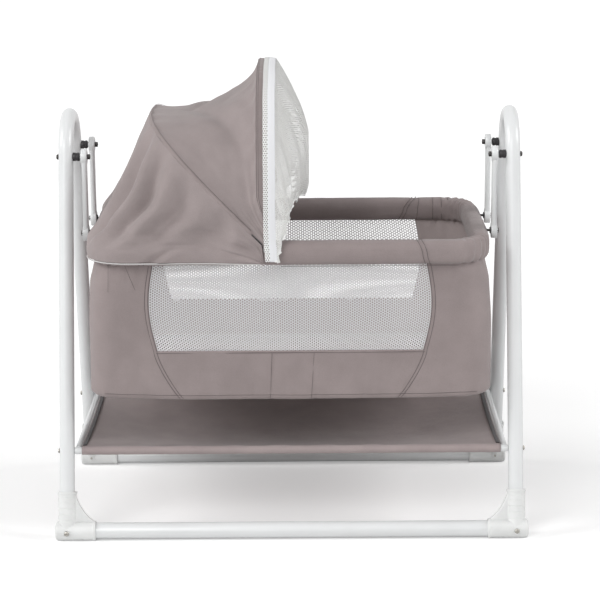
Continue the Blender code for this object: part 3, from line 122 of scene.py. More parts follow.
# Material graphs
class Graph:
    """Node tree of one material, with short calls to add and join nodes."""

    def __init__(self, name: str) -> None:
        """Starts a material that has only its shader and output.

        Args:
            name: The material's name.
        """
        self.material = bpy.data.materials.new(name)
        self.material.use_nodes = True
        self.tree = self.material.node_tree
        self.shader = self.tree.nodes["Principled BSDF"]

    def node(self, kind: str, inputs: dict | None = None, **settings: object) -> bpy.types.Node:
        """Adds a node with its settings and inputs.

        Args:
            kind: The node type's name, without its prefix.
            inputs: A value or an output socket for each input's name or number.
            **settings: The node's own properties.

        Returns:
            The new node.
        """
        made = self.tree.nodes.new(f"ShaderNode{kind}")
        for key, value in settings.items():
            setattr(made, key, value)
        for key, value in (inputs or {}).items():
            self.feed(made.inputs[key], value)
        return made

    def feed(self, socket: NodeSocket, value: object) -> None:
        """Joins a socket to an output, or gives it a constant.

        Args:
            socket: The input.
            value: An output socket or a constant.
        """
        if isinstance(value, NodeSocket):
            self.tree.links.new(value, socket)
        else:
            socket.default_value = value

    def math(self, operation: str, *values: object) -> NodeSocket:
        """Adds a math node.

        Args:
            operation: The operation's name.
            *values: Its operands.

        Returns:
            The result.
        """
        made = self.node("Math", operation=operation)
        for socket, value in zip(made.inputs, values):
            self.feed(socket, value)
        return made.outputs[0]

    def place(self, scale: float = 1.0, cloth: bool = False) -> NodeSocket:
        """Gives scaled object coordinates, or the cloth's own in metres.

        Args:
            scale: How many units a metre has.
            cloth: Whether the mesh's own flat coordinates are read.

        Returns:
            The vector.
        """
        source = self.node("TexCoord").outputs["UV" if cloth else "Object"]
        made = self.node("VectorMath", {0: source, "Scale": scale}, operation="SCALE")
        return made.outputs["Vector"]

    def grain(self, scale: float, detail: float = 2.0, rough: float = 0.5) -> NodeSocket:
        """Adds a noise of the object's own coordinates.

        Args:
            scale: Its spots per metre.
            detail: Its octaves.
            rough: The weight of the finer octaves.

        Returns:
            The noise, from 0 to 1.
        """
        inputs = {"Vector": self.place(), "Scale": scale, "Detail": detail, "Roughness": rough}
        return self.node("TexNoise", inputs).outputs[0]

    def bands(self, vector: object, pitch: float, direction: str, bend: float = 0.0) -> NodeSocket:
        """Adds straight waves across a direction, which repeat every pi / 10 units.

        Args:
            vector: The coordinates.
            pitch: The distance from one wave to the next.
            direction: The axis that they follow each other along.
            bend: How far they are bent.

        Returns:
            The waves, from 0 to 1.
        """
        inputs = {"Vector": vector, "Scale": pi / pitch / 10, "Distortion": bend}
        return self.node("TexWave", inputs, bands_direction=direction).outputs[1]

    def along(self, vector: object, spoke: Triple) -> NodeSocket:
        """Measures coordinates along a direction.

        Args:
            vector: The coordinates.
            spoke: The direction.

        Returns:
            The length.
        """
        made = self.node("VectorMath", {0: vector, 1: spoke}, operation="DOT_PRODUCT")
        return made.outputs["Value"]

    def span(
        self, value: object, low: float, high: float, start: float = 0.0, end: float = 1.0
    ) -> NodeSocket:
        """Maps a value to a range.

        Args:
            value: The value.
            low: The result at the start.
            high: The result at the end.
            start: The value that gives the lowest result.
            end: The value that gives the highest result.

        Returns:
            The mapped value.
        """
        made = self.node("MapRange", {0: value, 1: start, 2: end, 3: low, 4: high})
        return made.outputs[0]

    def blend(self, share: object, first: object, second: object) -> NodeSocket:
        """Mixes two colours.

        Args:
            share: The share of the second colour.
            first: A colour of three numbers or a socket.
            second: A colour of three numbers or a socket.

        Returns:
            The mixed colour.
        """
        made = self.node("Mix", {0: share}, data_type="RGBA")
        for socket, value in ((made.inputs[6], first), (made.inputs[7], second)):
            self.feed(socket, value if isinstance(value, NodeSocket) else (*value, 1.0))
        return made.outputs[2]

    def bump(
        self, height: object, distance: float, strength: float = 1.0, below: object = None
    ) -> NodeSocket:
        """Adds a bump.

        Args:
            height: The height, from 0 to 1.
            distance: Its full height in metres.
            strength: Its strength.
            below: A coarser bump that it lies on.

        Returns:
            The normal.
        """
        inputs = {"Height": height, "Distance": distance, "Strength": strength}
        if below is not None:
            inputs["Normal"] = below
        return self.node("Bump", inputs).outputs[0]

    def finish(
        self, colour: object, roughness: object, normal: object = None, **constants: object
    ) -> Material:
        """Joins the shader's inputs.

        Args:
            colour: The base colour.
            roughness: The roughness.
            normal: The normal, where there is a bump.
            **constants: Other inputs by name, with spaces written as underscores.

        Returns:
            The material.
        """
        self.feed(self.shader.inputs["Base Color"], colour)
        self.feed(self.shader.inputs["Roughness"], roughness)
        if normal is not None:
            self.feed(self.shader.inputs["Normal"], normal)
        for key, value in constants.items():
            self.feed(self.shader.inputs[key.replace("_", " ")], value)
        return self.material


def shade(colour: Triple, factor: float) -> Triple:
    """Makes a colour lighter or darker.

    Args:
        colour: The colour.
        factor: What each channel is multiplied by.

    Returns:
        The new colour.
    """
    return tuple(min(1.0, channel * factor) for channel in colour)


@dataclass(frozen=True)
class Finish:
    """A finish: its name, a slot name and its colour."""

    name: str
    slot: str
    colour: Triple

    def graph(self) -> Material:
        """Builds the material.

        Returns:
            The new material.
        """
        raise NotImplementedError

    def material(self) -> Material:
        """Gives the one material of this finish.

        Returns:
            The material.
        """
        return bpy.data.materials.get(self.name) or self.graph()


@dataclass(frozen=True)
class PowderCoat(Finish):
    """White powder coat with a faint orange peel and handling marks."""

    roughness: float = 0.32

    def graph(self) -> Material:
        """Builds the material.

        Returns:
            The new material.
        """
        g = Graph(self.name)
        marks = g.span(g.grain(9, 4), 0, 1, 0.45, 0.75)
        colour = g.blend(marks, self.colour, shade(self.colour, 0.955))
        specks = g.span(g.grain(700, 1), 0, 1, 0.68, 0.76)
        colour = g.blend(g.math("MULTIPLY", specks, 0.10), colour, shade(self.colour, 0.6))
        rough = g.span(g.grain(60, 3), self.roughness - 0.06, self.roughness + 0.10)
        peel = g.bump(g.grain(420, 2), 0.0006, 0.22)
        return g.finish(colour, rough, peel, Coat_Weight=0.35, Coat_Roughness=0.18)


@dataclass(frozen=True)
class Moulded(Finish):
    """Moulded plastic with a spark-eroded grain and paler worn spots."""

    roughness: float = 0.45
    wear: float = 1.08

    def graph(self) -> Material:
        """Builds the material.

        Returns:
            The new material.
        """
        g = Graph(self.name)
        cloud = g.span(g.grain(35, 4), 0, 1, 0.35, 0.7)
        colour = g.blend(cloud, self.colour, shade(self.colour, self.wear))
        rough = g.span(g.grain(240, 3), self.roughness - 0.08, self.roughness + 0.12)
        flow = g.bump(g.grain(40, 2), 0.0004, 0.2)
        grain = g.bump(g.grain(1400, 2), 0.0003, 0.28, flow)
        return g.finish(colour, rough, grain)


@dataclass(frozen=True)
class Metal(Finish):
    """Plated steel with fine turning marks and a dull bloom."""

    roughness: float = 0.34

    def graph(self) -> Material:
        """Builds the material.

        Returns:
            The new material.
        """
        g = Graph(self.name)
        bloom = g.span(g.grain(260, 3), 0, 1, 0.4, 0.7)
        colour = g.blend(bloom, self.colour, shade(self.colour, 0.72))
        marks = g.grain(2600, 1)
        rough = g.span(marks, self.roughness - 0.08, self.roughness + 0.16)
        return g.finish(colour, rough, g.bump(marks, 0.0001, 0.25), Metallic=0.9)


@dataclass(frozen=True)
class Cloth(Finish):
    """Plain weave: threads across each other, mixed yarn and soft creases."""

    pitch: float = 0.0009
    mottle: float = 0.16
    crease: float = 0.0016
    sheen: float = 0.22
    flat: bool = True

    def graph(self) -> Material:
        """Builds the material.

        Returns:
            The new material.
        """
        g = Graph(self.name)
        vector = g.place(1.0, cloth=self.flat)
        threads = [g.bands(vector, self.pitch, direction, 0.6) for direction in ("X", "Y")]
        weave = g.math("MULTIPLY", *threads)
        yarn = g.span(g.grain(950, 2, 0.7), 0, 1, 0.3, 0.7)
        cloud = g.span(g.grain(16, 3), 0, 1, 0.3, 0.7)
        tone = g.math("ADD", g.math("MULTIPLY", yarn, 0.6), g.math("MULTIPLY", cloud, 0.4))
        dark, light = shade(self.colour, 1 - self.mottle), shade(self.colour, 1 + self.mottle)
        colour = g.blend(tone, dark, light)
        colour = g.blend(g.math("MULTIPLY", weave, 0.12), colour, shade(self.colour, 1.35))
        rough = g.span(yarn, 0.78, 0.94)
        folds = g.bump(g.grain(38, 3, 0.55), self.crease, 0.55)
        slub = g.bump(g.grain(240, 2), 0.0005, 0.25, folds)
        normal = g.bump(weave, 0.00025, 0.3, slub)
        return g.finish(
            colour, rough, normal, Sheen_Weight=self.sheen, Sheen_Roughness=0.45,
            Specular_IOR_Level=0.3,
        )


@dataclass(frozen=True)
class Netting(Finish):
    """Knitted net: round holes in a honeycomb of soft thread, with painted shade darkening the thread
    towards each hole.
    """

    pitch: float = 0.0047
    thread: float = 0.55
    # Share by which the thread darkens towards each hole: painted shade.
    depth: float = 0.14

    def graph(self) -> Material:
        """Builds the material.

        Returns:
            The new material.
        """
        g = Graph(self.name)
        vector = g.place(2 * pi / self.pitch, cloth=True)
        waves = []
        for turn in (0, 120, 240):
            angle = radians(turn)
            spoke = (cos(angle), sin(angle), 0)
            waves.append(g.math("COSINE", g.along(vector, spoke)))
        hole = g.math("ADD", g.math("ADD", waves[0], waves[1]), waves[2])
        edge = len(waves) * (self.thread - 0.5) * 2 - 0.05
        alpha = g.span(hole, 1, 0, edge - 0.25, edge + 0.25)
        fuzz = g.span(g.grain(900, 2), 0, 1, 0.3, 0.7)
        colour = g.blend(fuzz, self.colour, shade(self.colour, 0.90))
        # Painted shade: the thread darkens towards the edge of each hole.
        rim = g.span(hole, edge - 1.3, edge)
        colour = g.blend(rim, colour, shade(self.colour, 1 - self.depth))
        cord = g.bump(g.span(hole, 1, 0, -1.5, edge), 0.0005, 0.35)
        rough = g.span(fuzz, 0.62, 0.85)
        return g.finish(colour, rough, cord, Alpha=alpha, Sheen_Weight=0.1)


@dataclass(frozen=True)
class Ribbed(Finish):
    """Woven tape or bound edge with fine cross ribs."""

    pitch: float = 0.0016

    def graph(self) -> Material:
        """Builds the material.

        Returns:
            The new material.
        """
        g = Graph(self.name)
        ribs = g.bands(g.place(1.0, cloth=True), self.pitch, "X")
        fuzz = g.grain(800, 3)
        colour = g.blend(g.span(ribs, 0.35, 0), self.colour, shade(self.colour, 0.8))
        colour = g.blend(g.span(fuzz, 0, 0.3), colour, shade(self.colour, 0.88))
        normal = g.bump(ribs, 0.0004, 0.5, g.bump(g.grain(60, 3), 0.001, 0.3))
        return g.finish(colour, g.span(fuzz, 0.6, 0.85), normal, Sheen_Weight=0.15)


@dataclass(frozen=True)
class Quilted(Finish):
    """Mattress cover: fine jersey, quilted in soft diamonds, with painted shade darkening the
    quilting's dips.
    """

    diamond: float = 0.075

    def graph(self) -> Material:
        """Builds the material.

        Returns:
            The new material.
        """
        g = Graph(self.name)
        vector = g.place(pi / self.diamond)
        waves = [g.math("SINE", g.along(vector, (1, sign, 0))) for sign in (-1, 1)]
        lines = [g.math("ABSOLUTE", wave) for wave in waves]
        puff = g.math("POWER", g.math("MINIMUM", *lines), 0.4)
        yarn = g.grain(900, 2)
        # Painted shade: the colour darkens towards the quilting lines, where the cover dips.
        colour = g.blend(g.span(puff, 0.5, 0), self.colour, shade(self.colour, 0.72))
        colour = g.blend(g.span(yarn, 0, 0.3), colour, shade(self.colour, 0.85))
        normal = g.bump(yarn, 0.0003, 0.3, g.bump(puff, 0.004, 0.6))
        return g.finish(colour, g.span(yarn, 0.75, 0.92), normal, Sheen_Weight=0.2)


@dataclass(frozen=True)
class Fibreboard(Finish):
    """Brown pressed board with flecks of fibre."""

    def graph(self) -> Material:
        """Builds the material.

        Returns:
            The new material.
        """
        g = Graph(self.name)
        fleck = g.span(g.grain(320, 4, 0.7), 0, 1, 0.35, 0.65)
        colour = g.blend(fleck, shade(self.colour, 0.75), shade(self.colour, 1.2))
        return g.finish(colour, g.span(fleck, 0.7, 0.9), g.bump(fleck, 0.0004, 0.3))


WHITE_PAINT = PowderCoat("white_powder_coat", "white_paint", (0.74, 0.752, 0.755))
WHITE_PLASTIC = Moulded("white_moulded_plastic", "white_plastic", (0.72, 0.727, 0.72), wear=1.05)
BLACK_PLASTIC = Moulded("black_moulded_plastic", "black_plastic", (0.016, 0.014, 0.016), 0.4, 1.8)
ZINC = Metal("zinc_plated_steel", "zinc_steel", (0.50, 0.48, 0.44))
DARK_ZINC = Metal("dark_zinc_steel", "zinc_steel", (0.085, 0.080, 0.078), 0.45)
WIRE = Metal("drawn_spring_wire", "spring_wire", (0.42, 0.42, 0.43), 0.28)
TAUPE = Cloth("taupe_weave", "taupe_cloth", (0.294, 0.247, 0.243))
# Hood panels: the same taupe painted lighter, as painted light for the top-lit hood.
LIT_HOOD_TAUPE = Cloth("taupe_weave_hood", "taupe_cloth", (0.315, 0.268, 0.264))
# Inside face of the tub: the same taupe painted much lighter, as painted light for the lit inner walls.
PAINTED_LIGHT_LINING = Cloth("taupe_weave_inside", "taupe_cloth", (0.47, 0.405, 0.398))
TAUPE_PAD = Cloth("taupe_weave_padded", "taupe_cloth", (0.294, 0.247, 0.243), flat=False)
# Shelf cloth: the taupe painted lighter to offset the shade under the basket, which is painted light.
LIT_SHELF_CLOTH = Cloth("shelf_weave", "shelf_cloth", (0.345, 0.288, 0.284), sheen=0.15)
# Near-black band along the shelf cloth's side edges: painted shade of the turned-down side hems.
SHELF_SHADE_BAND = Cloth("shelf_edge_binding", "shelf_cloth", (0.045, 0.038, 0.040), mottle=0.3)
# Dark cord for stitched seams, also used as painted shade along creases and pleats.
SEAM_THREAD_AND_SHADE = Ribbed("seam_thread", "taupe_cloth", (0.115, 0.092, 0.092), 0.003)
NET = Netting("white_window_net", "white_net", (0.80, 0.79, 0.80), 0.0050, 0.53)
# Rear window net: the same net painted paler than the front one, as painted light for its shaded
# inside.
LIT_REAR_NET = Netting("white_rear_window_net", "white_net", (0.95, 0.94, 0.95), 0.00557, 0.49)
# The last number of these two nets is their painted shade round the holes.
SOFT_NET = Netting("white_hood_net", "white_net", (0.95, 0.95, 0.93), 0.0056, 0.52, 0.38)
BINDING_NET = Netting("white_binding_net", "white_net", (0.90, 0.90, 0.89), 0.0043, 0.60, 0.30)
HEM = Ribbed("white_net_hem", "white_net", (0.93, 0.93, 0.92), 0.004)
TAPE = Ribbed("white_woven_tape", "white_tape", (0.83, 0.835, 0.86))
PIPING = Ribbed("white_piping_cover", "white_tape", (0.60, 0.585, 0.58), 0.003)
QUILT = Quilted("quilted_mattress_cover", "mattress_cover", (0.66, 0.61, 0.59))
BOARD = Fibreboard("pressed_fibreboard", "board", (0.42, 0.31, 0.21))


# Mesh helpers
def placed(name: str, data: bpy.types.ID) -> Object:
    """Makes an object and adds it to the scene.

    Args:
        name: Its name.
        data: Its mesh, curve, camera or light.

    Returns:
        The object.
    """
    made = bpy.data.objects.new(name, data)
    bpy.context.scene.collection.objects.link(made)
    return made


def only(items: Iterable, kind: type) -> list:
    """Picks the elements of one type out of a mesh operator's result.

    Args:
        items: The result.
        kind: The type.

    Returns:
        The elements.
    """
    return [item for item in items if isinstance(item, kind)]


def round_edges(bm: BMesh, edges: Iterable, width: float, segments: int) -> None:
    """Rounds edges off.

    Args:
        bm: The mesh being edited.
        edges: The edges.
        width: How wide they are rounded.
        segments: How many facets they get.
    """
    bmesh.ops.bevel(
        bm, geom=list(edges), offset=width, affect="EDGES", segments=segments, profile=0.5,
        material=-1,
    )


def soft_square(turn: float, power: float) -> tuple[float, float]:
    """Gives a point of a section between a circle and a square.

    Args:
        turn: The angle round it.
        power: 1 for a circle, and less for squarer corners.

    Returns:
        The point, within -1 and 1.
    """
    wide, tall = cos(turn), sin(turn)
    return copysign(abs(wide) ** power, wide), copysign(abs(tall) ** power, tall)


def shares(count: int) -> list[float]:
    """Gives evenly spaced shares from 0 to 1.

    Args:
        count: How many there are.

    Returns:
        The shares.
    """
    return [number / (count - 1) for number in range(count)]


def finished(
    name: str, bm: BMesh, finish: Finish, body: Body | None,
    nodes: Sequence[str] = (), angle: float = 38.0,
) -> Object:
    """Turns a mesh being edited into a piece with its finish and its body.

    Args:
        name: The piece's name.
        bm: The mesh, which is freed.
        finish: Its finish.
        body: The body that it rides on, or None where this function attaches it to no body.
        nodes: The CAD nodes that it stands for.
        angle: Edges sharper than this many degrees stay sharp.

    Returns:
        The piece.
    """
    bmesh.ops.recalc_face_normals(bm, faces=bm.faces)
    mesh = bpy.data.meshes.new(name)
    bm.to_mesh(mesh)
    bm.free()
    mesh.shade_smooth()
    mesh.set_sharp_from_angle(angle=radians(angle))
    mesh.materials.append(finish.material())
    piece = placed(name, mesh)
    if body is not None:
        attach(piece, body.value)
    if nodes:
        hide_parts(*nodes)
    LOG.info("made %s with %d faces", name, len(mesh.polygons))
    return piece


def aim(origin: Sequence[float], direction: Sequence[float]) -> Matrix:
    """Gives the transform from local up at the origin to a direction at a place.

    Args:
        origin: The place.
        direction: The direction.

    Returns:
        The transform.
    """
    turn = Vector((0, 0, 1)).rotation_difference(Vector(direction))
    return Matrix.Translation(Vector(origin)) @ turn.to_matrix().to_4x4()


def add_spun(
    bm: BMesh, profile: Iterable[tuple[float, float]],
    origin: Sequence[float], direction: Sequence[float], steps: int = 40,
) -> list[BMVert]:
    """Adds a closed turned shape.

    Args:
        bm: The mesh being edited.
        profile: Radius and height of each point, from one pole to the other.
        origin: Where its axis starts.
        direction: Its axis.
        steps: Its facets.

    Returns:
        The new vertices.
    """
    before = set(bm.verts)
    line = [bm.verts.new((radius, 0, height)) for radius, height in profile]
    edges = [bm.edges.new(pair) for pair in zip(line, line[1:])]
    bmesh.ops.spin(
        bm, geom=line + edges, axis=(0, 0, 1), cent=(0, 0, 0),
        angle=2 * pi, steps=steps, use_merge=True,
    )
    fresh = [vert for vert in bm.verts if vert not in before]
    bmesh.ops.remove_doubles(bm, verts=fresh, dist=1e-6)
    fresh = [vert for vert in bm.verts if vert not in before]
    bmesh.ops.transform(bm, matrix=aim(origin, direction), verts=fresh)
    return fresh


def add_prism(
    bm: BMesh, sides: int, radius: float,
    start: Sequence[float], end: Sequence[float], edge: float = 0.0,
) -> None:
    """Adds a prism or cylinder between two points, with broken edges.

    Args:
        bm: The mesh being edited.
        sides: Its sides.
        radius: Its outer radius.
        start: The middle of its first end.
        end: The middle of its other end.
        edge: The width of its broken edges.
    """
    axis = Vector(end) - Vector(start)
    place = aim((Vector(start) + Vector(end)) / 2, axis)
    made = bmesh.ops.create_cone(
        bm, cap_ends=True, segments=sides, radius1=radius, radius2=radius,
        depth=axis.length, matrix=place,
    )
    if edge:
        rims = {e for v in made["verts"] for e in v.link_edges}
        rims = [e for e in rims if any(len(f.verts) == sides for f in e.link_faces)]
        round_edges(bm, rims, edge, 2)


def shaped_grid(
    columns: int, rows: int, place: Place, size: tuple[float, float], joined: bool = False
) -> BMesh:
    """Makes a sheet from a grid whose points a function places.

    Args:
        columns: Its faces across.
        rows: Its faces along.
        place: Gives the point at two shares from 0 to 1.
        size: Its flat size in metres, which its cloth coordinates follow.
        joined: Whether its first and last column meet.

    Returns:
        The mesh being edited.
    """
    bm = bmesh.new()
    layer = bm.loops.layers.uv.new("cloth")
    bmesh.ops.create_grid(bm, x_segments=columns, y_segments=rows, size=0.5)
    for face in bm.faces:
        for loop in face.loops:
            u, v = loop.vert.co.x + 0.5, loop.vert.co.y + 0.5
            loop[layer].uv = (u * size[0], v * size[1])
    for vert in bm.verts:
        vert.co = place(vert.co.x + 0.5, vert.co.y + 0.5)
    if joined:
        bmesh.ops.remove_doubles(bm, verts=bm.verts, dist=1e-5)
    return bm


def thicken(piece: Object, thickness: float, offset: float = 0.0) -> None:
    """Gives a sheet its real thickness.

    Args:
        piece: The sheet.
        thickness: Its thickness in metres.
        offset: -1 or 1 for a wall on one side of the mesh, or 0 for its middle.
    """
    wall = piece.modifiers.new("Wall", "SOLIDIFY")
    wall.thickness = thickness
    wall.offset = offset
    wall.use_even_offset = False


def tube(
    name: str, points: Sequence[Vector], radius: float, finish: Finish = SEAM_THREAD_AND_SHADE,
    body: Body = Body.CRADLE, nodes: Sequence[str] = (), sides: int = 1,
) -> Object:
    """Makes a round cord along points.

    Args:
        name: The piece's name.
        points: The points of its middle line.
        radius: Its radius.
        finish: Its finish.
        body: The body that it rides on.
        nodes: The CAD nodes that it stands for.
        sides: How fine its section is.

    Returns:
        The piece.
    """
    curve = bpy.data.curves.new(name, "CURVE")
    curve.dimensions = "3D"
    curve.bevel_depth = radius
    curve.bevel_resolution = sides
    curve.use_fill_caps = True
    spline = curve.splines.new("POLY")
    spline.points.add(len(points) - 1)
    for knot, point in zip(spline.points, points):
        knot.co = (*point, 1)
    shaper = placed(f"{name}_line", curve)
    mesh = shaper.to_mesh()
    bm = bmesh.new()
    bm.from_mesh(mesh)
    shaper.to_mesh_clear()
    bpy.data.objects.remove(shaper)
    bmesh.ops.remove_doubles(bm, verts=bm.verts, dist=1e-7)
    return finished(name, bm, finish, body, nodes, angle=60)


def ripple(x: float, y: float, z: float = 0.0) -> float:
    """Gives a smooth repeatable noise.

    Args:
        x: First coordinate.
        y: Second coordinate.
        z: Third coordinate.

    Returns:
        A value from about -1 to 1.
    """
    return noise.noise(Vector((x, y, z)))


def bell(value: float, middle: float, width: float) -> float:
    """Gives a bump round a middle.

    Args:
        value: Where it is read.
        middle: Its middle.
        width: Its width.

    Returns:
        A value from 0 to 1.
    """
    return exp(-(((value - middle) / width) ** 2))


def ease(value: float, low: float, high: float) -> float:
    """Gives a smooth step.

    Args:
        value: Where it is read.
        low: Where it leaves 0.
        high: Where it reaches 1.

    Returns:
        A value from 0 to 1.
    """
    share = min(1.0, max(0.0, (value - low) / (high - low)))
    return share * share * (3 - 2 * share)


def soften(bm: BMesh, rounds: int) -> None:
    """Smooths the inner points of a sheet.

    Args:
        bm: The mesh being edited.
        rounds: How often it is smoothed.
    """
    inner = [vert for vert in bm.verts if not vert.is_boundary]
    for _ in range(rounds):
        bmesh.ops.smooth_vert(
            bm, verts=inner, factor=0.5, use_axis_x=True, use_axis_y=True, use_axis_z=True
        )


def relief(
    bm: BMesh, size: tuple[float, float], inside: Vector,
    height: Callable[[float, float], float],
) -> None:
    """Moves a sheet's points along its normals, for folds and puckers.

    Args:
        bm: The mesh being edited.
        size: The sheet's flat size.
        inside: A point on its inner side.
        height: Gives the move outwards at two shares from 0 to 1.
    """
    layer = bm.loops.layers.uv[0]
    bmesh.ops.recalc_face_normals(bm, faces=bm.faces)
    bm.normal_update()
    moves = []
    for vert in bm.verts:
        flat = vert.link_loops[0][layer].uv
        sign = 1 if vert.normal.dot(vert.co - inside) > 0 else -1
        moves.append(vert.normal * sign * height(flat.x / size[0], flat.y / size[1]))
    for vert, move in zip(bm.verts, moves):
        vert.co += move


def applied(piece: Object) -> None:
    """Puts the result of a piece's modifiers into its mesh.

    Args:
        piece: The piece.
    """
    graph = bpy.context.evaluated_depsgraph_get()
    mesh = bpy.data.meshes.new_from_object(piece.evaluated_get(graph))
    old = piece.data
    piece.modifiers.clear()
    piece.data = mesh
    bpy.data.meshes.remove(old)


def puffed(
    piece: Object, voxel: float, cap: float, held: Callable[[Vector], float],
    pressure: float = 4.0, frames: int = 20,
) -> None:
    """Swells a padded piece with a cloth simulation and applies it.

    Args:
        piece: The piece, which starts slightly too small.
        voxel: The size of the remeshed faces.
        cap: How far a point may move.
        held: Gives how firmly a point is held by a seam or by what it rests on.
        pressure: The pressure inside.
        frames: How many frames are run.
    """
    remesh = piece.modifiers.new("Voxels", "REMESH")
    remesh.mode = "VOXEL"
    remesh.voxel_size = voxel
    applied(piece)
    rest = [vert.co.copy() for vert in piece.data.vertices]
    pins = piece.vertex_groups.new(name="held")
    for vert in piece.data.vertices:
        pins.add([vert.index], held(vert.co), "REPLACE")
    cloth = piece.modifiers.new("Cloth", "CLOTH")
    cloth.settings.use_pressure = True
    cloth.settings.uniform_pressure_force = pressure
    cloth.settings.effector_weights.gravity = 0
    cloth.settings.vertex_group_mass = pins.name
    cloth.settings.tension_stiffness = 18
    cloth.settings.compression_stiffness = 12
    cloth.settings.bending_stiffness = 0.4
    scene = bpy.context.scene
    for step in range(1, frames + 1):
        scene.frame_set(step)
    applied(piece)
    scene.frame_set(1)
    piece.vertex_groups.clear()
    for vert, start in zip(piece.data.vertices, rest):
        move = vert.co - start
        if move.length > cap:
            vert.co = start + move.normalized() * cap
    finer = piece.modifiers.new("Finer", "SUBSURF")
    finer.levels = finer.render_levels = 1
    applied(piece)
    piece.data.shade_smooth()
    LOG.info("puffed %s to %d faces", piece.name, len(piece.data.polygons))


# Stand
@dataclass
class Fastener:
    """Button head screw or bolt, with or without a nut."""

    name: str
    head: Vector
    tail: Vector
    head_radius: float
    head_height: float
    shank: float
    body: Body
    nut: tuple[float, float] | None = None
    finish: Finish = ZINC

    def build(self) -> None:
        """Makes the fastener: a domed head with a socket, a shank and its nut."""
        r, h = self.head_radius, self.head_height
        axis = (self.head - self.tail).normalized()
        length = (self.head - self.tail).length
        profile = [
            (0, h * 0.45), (r * 0.34, h * 0.45), (r * 0.36, h * 0.5), (r * 0.38, h * 0.97),
            (r * 0.42, h), (r * 0.62, h * 0.96), (r * 0.84, h * 0.74), (r * 0.97, h * 0.4),
            (r, h * 0.16), (r * 0.98, 0), (self.shank, 0), (self.shank, -length), (0, -length),
        ]
        bm = bmesh.new()
        add_spun(bm, profile, self.head, axis, 28)
        if self.nut is not None:
            radius, height = self.nut
            end = self.tail - axis * height
            chamfer = 0.0006
            add_prism(bm, 6, radius, self.tail, end, chamfer)
            add_prism(bm, 20, self.shank, end, end - axis * chamfer, chamfer / 2)
        finished(self.name, bm, self.finish, self.body, [self.name])


